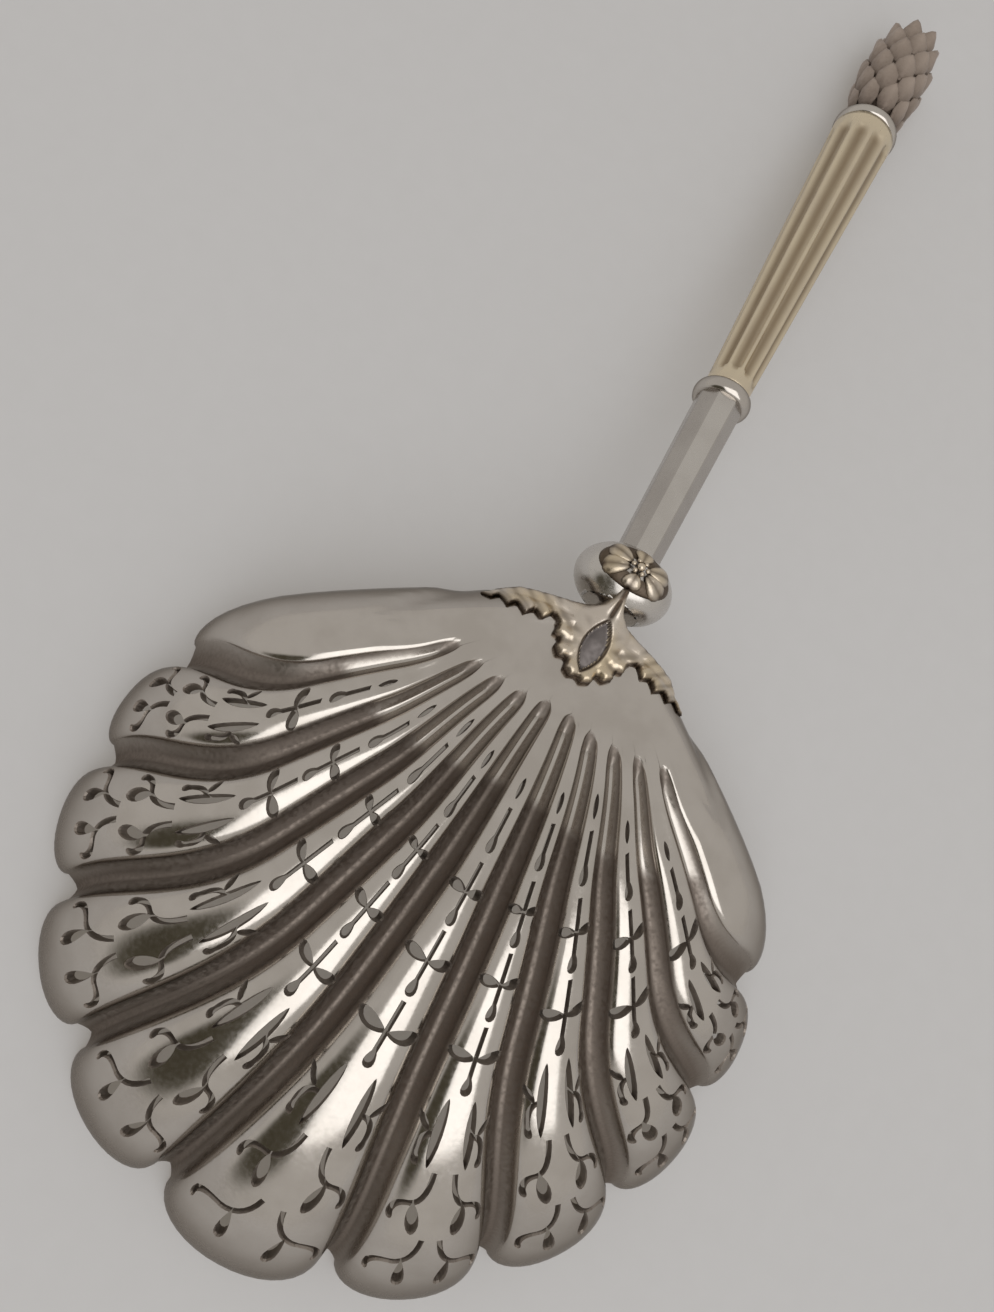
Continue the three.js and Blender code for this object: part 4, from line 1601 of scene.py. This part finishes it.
@dataclass
class LeafMount:
    """Gilt cast leaf over the heel: a waist on the knop, toothed arms and a scalloped tongue with a recess.

    Its outline is in plan from the heel, one side of it, from the waist to the arm's tip and on to the
    tongue's tip. The crown is the raised middle, given by its height and its spread at places along it.
    """

    axis: HandleAxis
    form: ShellForm = field(default_factory=ShellForm)
    upper_edge: tuple[Point, ...] = (
        (0.55, 3.6), (0.7, 2.9), (1.2, 2.1), (2.0, 1.5), (3.5, 0.95), (5.6, 0.45), (8.1, -0.1),
        (9.7, -0.95), (10.9, -2.3),
    )
    arm_teeth: tuple[Point, ...] = (
        (9.9, -2.5), (9.4, -1.75), (8.4, -2.65), (7.8, -1.8), (6.7, -2.7), (6.1, -1.7),
        (5.1, -2.4), (4.4, -1.1),
    )
    tongue_lobes: tuple[Point, ...] = (
        (3.6, -1.7), (3.6, -2.6), (2.9, -2.8), (3.0, -3.6), (2.3, -4.3), (1.55, -4.1),
        (1.4, -4.95), (0.6, -5.4), (0.0, -5.1),
    )
    crown: tuple[Point, ...] = ((-5.4, 14.6), (-3.8, 15.6), (-1.5, 15.95), (1.0, 16.0))
    crown_over_knop: tuple[Point, ...] = ((2.4, -0.1), (3.6, 0.75))
    crown_spread: tuple[Point, ...] = ((-5.4, 4.5), (-2.5, 4.6), (0.5, 4.2), (2.0, 2.4), (3.6, 1.6))
    crown_fall: float = 3.2
    corner: float = 0.22
    corner_steps: int = 3
    grid: float = 0.15
    cutter_reach: float = 1.0
    edge_height: float = 0.15
    edge_round: float = 0.7
    arm_height: float = 0.85
    recess_middle: float = -2.0
    recess_length: float = 5.4
    recess_width: float = 2.4
    recess_depth: float = 0.55
    recess_wall: Point = (-0.05, 0.18)
    recess_floor: float = 0.6
    recess_shade: tuple[Point, Point] = ((-0.2, 0.02), (0.24, 0.06))
    edge_shade: Point = (0.3, 0.0)
    vein_darkening: float = 4.0
    bed: float = 0.4
    bed_end: float = 0.985
    arm_start: Point = (3.6, 4.8)
    rib_height: float = 0.1
    rib_slant: float = 1.1
    rib_pitch: float = 1.65
    fan_height: float = 0.12
    fan_rate: float = 10.3
    fan_turn: float = 0.314
    fan_squash: float = 0.6
    fan_start: Point = (1.2, 2.2)
    fan_end: Point = (0.4, -0.6)
    split_depth: float = 0.35
    split_width: float = 0.22
    split_start: Point = (0.3, 1.2)

    def outline(self) -> list[Point]:
        """Whole outline in plan, turning one way."""
        right = [*self.upper_edge, *self.arm_teeth, *self.tongue_lobes]
        return [*right, *((-x, y) for x, y in right[-2::-1])]

    def blank(self) -> bpy.types.Mesh:
        """Cuts a ruled flat sheet to the outline.

        Returns:
            The flat mesh, with its height from 0 underneath to 1 on top.
        """
        corners = np.array(self.outline())
        low, high = corners.min(axis=0) - self.grid, corners.max(axis=0) + self.grid
        counts = np.ceil((high - low) / self.grid).astype(int)
        sheet = bmesh.new()
        bmesh.ops.create_grid(sheet, x_segments=int(counts[0]), y_segments=int(counts[1]), size=0.5)
        bmesh.ops.scale(sheet, vec=(*(high - low), 1.0), verts=sheet.verts)
        bmesh.ops.translate(sheet, vec=(*((high + low) / 2.0), 0.0), verts=sheet.verts)
        cutter = bmesh.new()
        face = cutter.faces.new([
            cutter.verts.new((x, y, -self.cutter_reach)) for x, y in self.outline()
        ])
        round_off(cutter, face.verts[:], self.corner, self.corner_steps, affect="VERTICES")
        blank = thickened(sheet, 1.0, "leaf_sheet")
        tool = thickened(cutter, 1.0 + 2.0 * self.cutter_reach, "leaf_outline")
        return combined(blank, [tool], "INTERSECT")

    def bed_height(self, x: np.ndarray, y: np.ndarray) -> np.ndarray:
        """Height of the bowl's back under the leaf.

        Args:
            x: places across.
            y: places along, from the heel towards the knop.
        Returns:
            The heights.
        """
        hinge = self.form.hinge_angle
        angle = np.degrees(np.arctan2(x, -y))
        held = np.clip(angle, -hinge, hinge)
        beyond = np.maximum(np.abs(angle) - hinge, 0.0)
        out = np.hypot(x, y) * np.cos(np.radians(beyond))
        share = np.clip(out / self.form.reach(held), 0.0, self.bed_end)
        return self.form.back(held, share)[:, 2]

    def crown_height(self, x: np.ndarray, y: np.ndarray) -> np.ndarray:
        """Height of the raised middle of the leaf, from the tongue up to the top of the knop.

        Args:
            x: places across.
            y: places along.
        Returns:
            The heights.
        """
        top = self.axis.knop_height + self.axis.knop_depth / 2.0
        over_knop = ((along, top + height) for along, height in self.crown_over_knop)
        line = np.interp(y, *zip(*self.crown, *over_knop))
        spread = np.interp(y, *zip(*self.crown_spread))
        return line - self.crown_fall * (x / spread) ** 2

    def edge_distance(self, x: np.ndarray, y: np.ndarray) -> np.ndarray:
        """Distance of each place from the outline, apart from the end of the waist.

        Args:
            x: places across.
            y: places along.
        Returns:
            The distances.
        """
        corners = np.array(self.outline())
        starts, runs = corners[:-1], np.diff(corners, axis=0)
        away = np.stack((x, y), axis=-1)[:, None, :] - starts[None]
        share = np.clip((away * runs).sum(-1) / (runs**2).sum(-1), 0.0, 1.0)
        return np.linalg.norm(away - share[..., None] * runs, axis=-1).min(axis=1)

    def build(self) -> bpy.types.Object:
        """Makes the leaf.

        Returns:
            The dressed object.
        """
        mesh = self.blank()
        flat = points_of(mesh)
        x, y, upper = flat[:, 0], flat[:, 1], flat[:, 2] > 0.5
        bed = self.bed_height(x, y)
        away = self.edge_distance(x, y)
        rounded = quarter_round(away / self.edge_round)
        top = np.maximum(bed + self.arm_height, self.crown_height(x, y))
        along = 2.0 * (y - self.recess_middle) / self.recess_length
        recess = 1.0 - along**2 - np.abs(2.0 * x / self.recess_width)
        sunk = smoothstep(*self.recess_wall, recess)
        veins = self.veins(x, y)
        crest = bed + self.edge_height + (top - bed + veins) * rounded - self.recess_depth * sunk
        lay_from_heel(mesh, np.stack((x, y, np.where(upper, crest, bed - self.bed)), axis=-1))
        mesh.polygons.foreach_set("use_smooth", np.ones(len(mesh.polygons), dtype=bool))
        # Darker in the chased veins and the split line.
        chased = -self.vein_darkening * np.minimum(veins, 0.0) * (1.0 - sunk)
        # Painted shade along the leaf's edges, where it lies on the bowl.
        shade_and_tarnish = np.clip(smoothstep(*self.edge_shade, away) + chased, 0.0, 1.0)
        # Painted shade round the wall of the recess.
        outer, inner = self.recess_shade
        set_shade_and_tarnish(mesh, np.maximum(shade_and_tarnish, smoothstep(*outer, recess) * smoothstep(*inner, recess)))
        in_recess = upper & (sunk > self.recess_floor)
        for face in mesh.polygons:
            face.material_index = int(in_recess[list(face.vertices)].all())
        mesh.update()
        return Piece("leaf_cast", "leaf_mount", Slot.GILT, (PALE_GILT, CLOUDED_SILVER)).place(mesh)

    def veins(self, x: np.ndarray, y: np.ndarray) -> np.ndarray:
        """Chased relief: ribs that run out to the teeth, and a split line up the waist.

        Args:
            x: places across.
            y: places along.
        Returns:
            Heights over the plain surface.
        """
        side = np.abs(x)
        from_recess = y - self.recess_middle
        on_arm = smoothstep(*self.arm_start, side)
        ribs = self.rib_height * np.cos(2.0 * math.pi * (side - self.rib_slant * y) / self.rib_pitch)
        turn = np.arctan2(side, -from_recess) - self.fan_turn
        fan = self.fan_height * np.cos(self.fan_rate * turn) * smoothstep(*self.fan_end, y)
        fan *= smoothstep(*self.fan_start, np.hypot(x, self.fan_squash * from_recess))
        split = self.split_depth * np.exp(-((x / self.split_width) ** 2)) * smoothstep(*self.split_start, y)
        return on_arm * ribs + (1.0 - on_arm) * fan - split


@dataclass
class FlowerMedallion:
    """Gilt cast flower on the knop: an oval plate, round petals and a beaded centre."""

    axis: HandleAxis
    width: float = 7.4
    length: float = 4.3
    set_back: float = 0.2
    plate_height: float = 0.3
    plate_sides: int = 48
    plate_bevel: float = 0.04
    plate_inset: float = 0.9
    plate_shade: float = 0.9
    petals: int = 6
    petal_height: float = 0.55
    petal_fineness: tuple[int, int] = (16, 8)
    petal_middle: float = 0.6
    petal_half: float = 0.36
    petal_width: float = 0.2
    petal_slant: Point = (0.75, 0.25)
    petal_flare: Point = (0.75, 0.35)
    crease_depth: float = 0.3
    crease_width: float = 0.25
    crease_darkening: float = 2.2
    foot_shade: Point = (0.8, 1.1)
    button: float = 0.42
    beads: int = 6
    bead: float = 0.24
    bead_ring: Point = (0.72, 0.62)
    bead_height: float = 0.3
    bead_fineness: tuple[int, int] = (10, 6)
    bead_shade: float = 0.8
    bead_waist: float = 0.1
    clearance: float = 0.05

    def build(self) -> bpy.types.Object:
        """Makes the medallion.

        Returns:
            The dressed object.
        """
        shape = bmesh.new()
        shade_and_tarnish = shape.verts.layers.float.new(SHADE_AND_TARNISH_ATTRIBUTE)
        plate = bmesh.ops.create_cone(
            shape, cap_ends=True, segments=self.plate_sides, radius1=0.5, radius2=0.5 - self.plate_bevel,
            depth=self.plate_height,
        )["verts"]
        # Painted shade on the plate, which shows round and between the petals.
        for vert in plate:
            vert[shade_and_tarnish] = self.plate_shade
        bmesh.ops.scale(shape, vec=(self.width, self.length, 1.0), verts=plate)
        caps = [face for face in shape.faces if len(face.verts) == self.plate_sides]
        bmesh.ops.inset_region(shape, faces=caps, thickness=self.plate_inset)
        for number in range(self.petals):
            turn = 2.0 * math.pi * (number + 0.5) / self.petals
            self.add_petal(shape, shade_and_tarnish, turn)
        self.add_centre(shape, shade_and_tarnish)
        axis = self.axis
        for vert in shape.verts:
            along = vert.co.y + self.set_back
            inner = (vert.co.x / axis.knop_radius) ** 2 + (along / axis.knop_half_length) ** 2
            roof = axis.knop_depth / 2.0 * math.sqrt(max(1.0 - inner, 0.0))
            vert.co = (vert.co.x, along, roof + vert.co.z + self.clearance)
        bmesh.ops.recalc_face_normals(shape, faces=shape.faces)
        mesh = mesh_of(shape, "flower_medallion", axis.to_frame())
        return Piece("flower_cast", "flower_medallion", Slot.GILT, (PALE_GILT,)).place(mesh)

    def add_petal(self, shape: BMesh, shade_and_tarnish: BMLayerItem, turn: float) -> None:
        """Adds one petal with a crease along its middle.

        Args:
            shape: the shape to add to.
            shade_and_tarnish: the layer of darkening values, with painted shade at the petal's foot.
            turn: direction of the petal.
        """
        around, up = self.petal_fineness
        made = bmesh.ops.create_uvsphere(shape, u_segments=around, v_segments=up, radius=1.0)["verts"]
        towards = Vector((self.width * math.cos(turn), self.length * math.sin(turn)))
        reach = 0.5 * towards.length
        middle, half = self.petal_middle * reach, self.petal_half * reach
        across = self.petal_width * (self.width + self.length) / 2.0
        for vert in made:
            x, y, z = vert.co
            crease = self.crease_depth * math.exp(-((y / self.crease_width) ** 2))
            # Darker along the crease, and painted shade at the petal's foot where it meets the plate.
            foot = max(0.0, self.foot_shade[0] - self.foot_shade[1] * z)
            vert[shade_and_tarnish] = min(1.0, self.crease_darkening * crease + foot)
            slant = self.petal_slant[0] + self.petal_slant[1] * x
            height = self.petal_height * (z * slant - crease * max(z, 0.0))
            wide = across * (self.petal_flare[0] + self.petal_flare[1] * x)
            vert.co = (middle + half * x, wide * y, self.plate_height / 2.0 + height)
        heading = Matrix.Rotation(math.atan2(towards.y, towards.x), 3, "Z")
        bmesh.ops.rotate(shape, matrix=heading, verts=made)

    def add_centre(self, shape: BMesh, shade_and_tarnish: BMLayerItem) -> None:
        """Adds the button in the middle and the beads round it.

        Args:
            shape: the shape to add to.
            shade_and_tarnish: the layer of painted shade values.
        """
        spots = [(0.0, 0.0, self.button)]
        for number in range(self.beads):
            turn = 2.0 * math.pi * number / self.beads
            spots.append((self.bead_ring[0] * math.cos(turn), self.bead_ring[1] * math.sin(turn), self.bead))
        around, up = self.bead_fineness
        level = self.plate_height / 2.0 + self.bead_height
        for x, y, radius in spots:
            made = bmesh.ops.create_uvsphere(shape, u_segments=around, v_segments=up, radius=radius)["verts"]
            for vert in made:
                # Painted shade on the beads' undersides.
                vert[shade_and_tarnish] = self.bead_shade if vert.co.z < self.bead_waist * radius else 0.0
            bmesh.ops.translate(shape, vec=(x, y, level), verts=made)


@dataclass
class Studio:
    """Pale floor, soft light, and the camera at the photograph's angle."""

    focal_pixels: float = 1100.0
    image_height: float = 1312.0
    sensor: float = 24.0
    camera_from_heel: tuple[float, float, float] = (-15.19, -28.75, 107.36)
    pitch: float = 13.09
    yaw: float = -5.14
    roll: float = 30.3
    floor_size: float = 3.0
    floor_colour: Colour = (0.431, 0.446, 0.474)
    floor_roughness: float = 0.9
    floor_glow: float = 0.15
    glow_colour: Colour = (1.0, 0.88, 0.74)
    fibre: float = 400.0
    fibre_detail: float = 5.0
    fibre_shade: float = 0.95
    room_colour: Colour = (0.546, 0.527, 0.5)
    screen_colour: Colour = (0.07, 0.062, 0.042)
    screen_towards: tuple[float, float, float] = (-0.43, -0.75, 0.5)
    screen_edge: float = 0.86
    screen_core: float = 0.95
    softbox_place: tuple[float, float, float] = (0.20, -0.42, 0.82)
    softbox_size: float = 1.0
    softbox_power: float = 3.9

    def build(self) -> None:
        """Sets the stage."""
        self.set_camera()
        self.set_floor()
        self.set_world()
        self.set_softbox()
        bpy.context.scene.view_settings.view_transform = "Standard"

    def set_camera(self) -> None:
        """Places the camera."""
        lens = bpy.data.cameras.new("photo_camera")
        lens.sensor_fit = "VERTICAL"
        lens.sensor_height = self.sensor
        lens.lens = self.focal_pixels / self.image_height * self.sensor
        lens.clip_start = MM
        camera = bpy.data.objects.new("photo_camera", lens)
        turn = (
            Matrix.Rotation(math.radians(self.yaw), 4, "Y")
            @ Matrix.Rotation(math.radians(self.pitch), 4, "X")
            @ Matrix.Rotation(math.radians(self.roll), 4, "Z")
        )
        place = (heel_of_bowl() + Vector(self.camera_from_heel)) * MM
        camera.matrix_world = Matrix.Translation(place) @ turn
        bpy.context.scene.collection.objects.link(camera)
        bpy.context.scene.camera = camera

    def set_floor(self) -> None:
        """Lays the pale floor."""
        shape = bmesh.new()
        bmesh.ops.create_grid(shape, x_segments=1, y_segments=1, size=self.floor_size / 2.0)
        mesh = baked(shape, "floor")
        floor = bpy.data.objects.new("floor", mesh)
        bpy.context.scene.collection.objects.link(floor)
        paper = bpy.data.materials.new("pale_paper")
        paper.use_nodes = True
        sketch = NodeSketch(paper.node_tree)
        fibre = sketch.noise(self.fibre, EVEN, self.fibre_detail)
        darker = tuple(self.fibre_shade * part for part in self.floor_colour)
        path = sketch.node("ShaderNodeLightPath")
        seen = path.outputs["Is Camera Ray"]
        for name in ("Is Glossy Ray", "Is Transmission Ray"):
            seen = sketch.math("MAXIMUM", seen, path.outputs[name])
        sketch.wire(paper.node_tree.nodes["Principled BSDF"], {
            "Roughness": self.floor_roughness,
            "Base Color": sketch.mix(fibre, darker, self.floor_colour),
            "Emission Color": (*self.glow_colour, 1.0),
            "Emission Strength": sketch.math("MULTIPLY", seen, self.floor_glow),
        })
        mesh.materials.append(paper)

    def set_world(self) -> None:
        """Lights the room softly from all round, apart from a dark screen on one side."""
        world = bpy.data.worlds.new("room")
        world.use_nodes = True
        sketch = NodeSketch(world.node_tree)
        place = sketch.node("ShaderNodeTexCoord").outputs["Generated"]
        screen_way = Vector(self.screen_towards).normalized()
        towards = sketch.node("ShaderNodeVectorMath", {0: place, 1: screen_way}, operation="DOT_PRODUCT")
        screen = sketch.ramp(towards.outputs["Value"], (self.screen_edge, 0.0), (self.screen_core, 1.0))
        sketch.wire(world.node_tree.nodes["Background"], {
            "Color": sketch.mix(screen, self.room_colour, self.screen_colour), "Strength": 1.0,
        })
        bpy.context.scene.world = world

    def set_softbox(self) -> None:
        """Hangs a square soft lamp that faces the spoon."""
        light = bpy.data.lights.new("softbox", "AREA")
        light.size = self.softbox_size
        light.energy = self.softbox_power
        lamp = bpy.data.objects.new("softbox", light)
        lamp.location = self.softbox_place
        lamp.rotation_euler = (-Vector(self.softbox_place)).to_track_quat("-Z", "Y").to_euler()
        bpy.context.scene.collection.objects.link(lamp)


def main() -> None:
    """Builds the spoon's pieces in order and sets the stage."""
    logging.basicConfig(level=logging.INFO, format="%(name)s %(message)s")
    Studio().build()
    axis = HandleAxis()
    ring = Ferrule(axis, "stem_ring", axis.ring_start, axis.ring_length, radius=3.0, bore=2.0)
    collar = Ferrule(axis, "finial_collar", axis.collar_start, axis.collar_length, radius=3.6, bore=2.4)
    parts = (
        ShellBowl(), LeafMount(axis), Knop(axis), FlowerMedallion(axis), Stem(axis), ring,
        FlutedHandle(axis), collar, Finial(axis),
    )
    for part in parts:
        part.build()


if __name__ == "__main__":
    main()
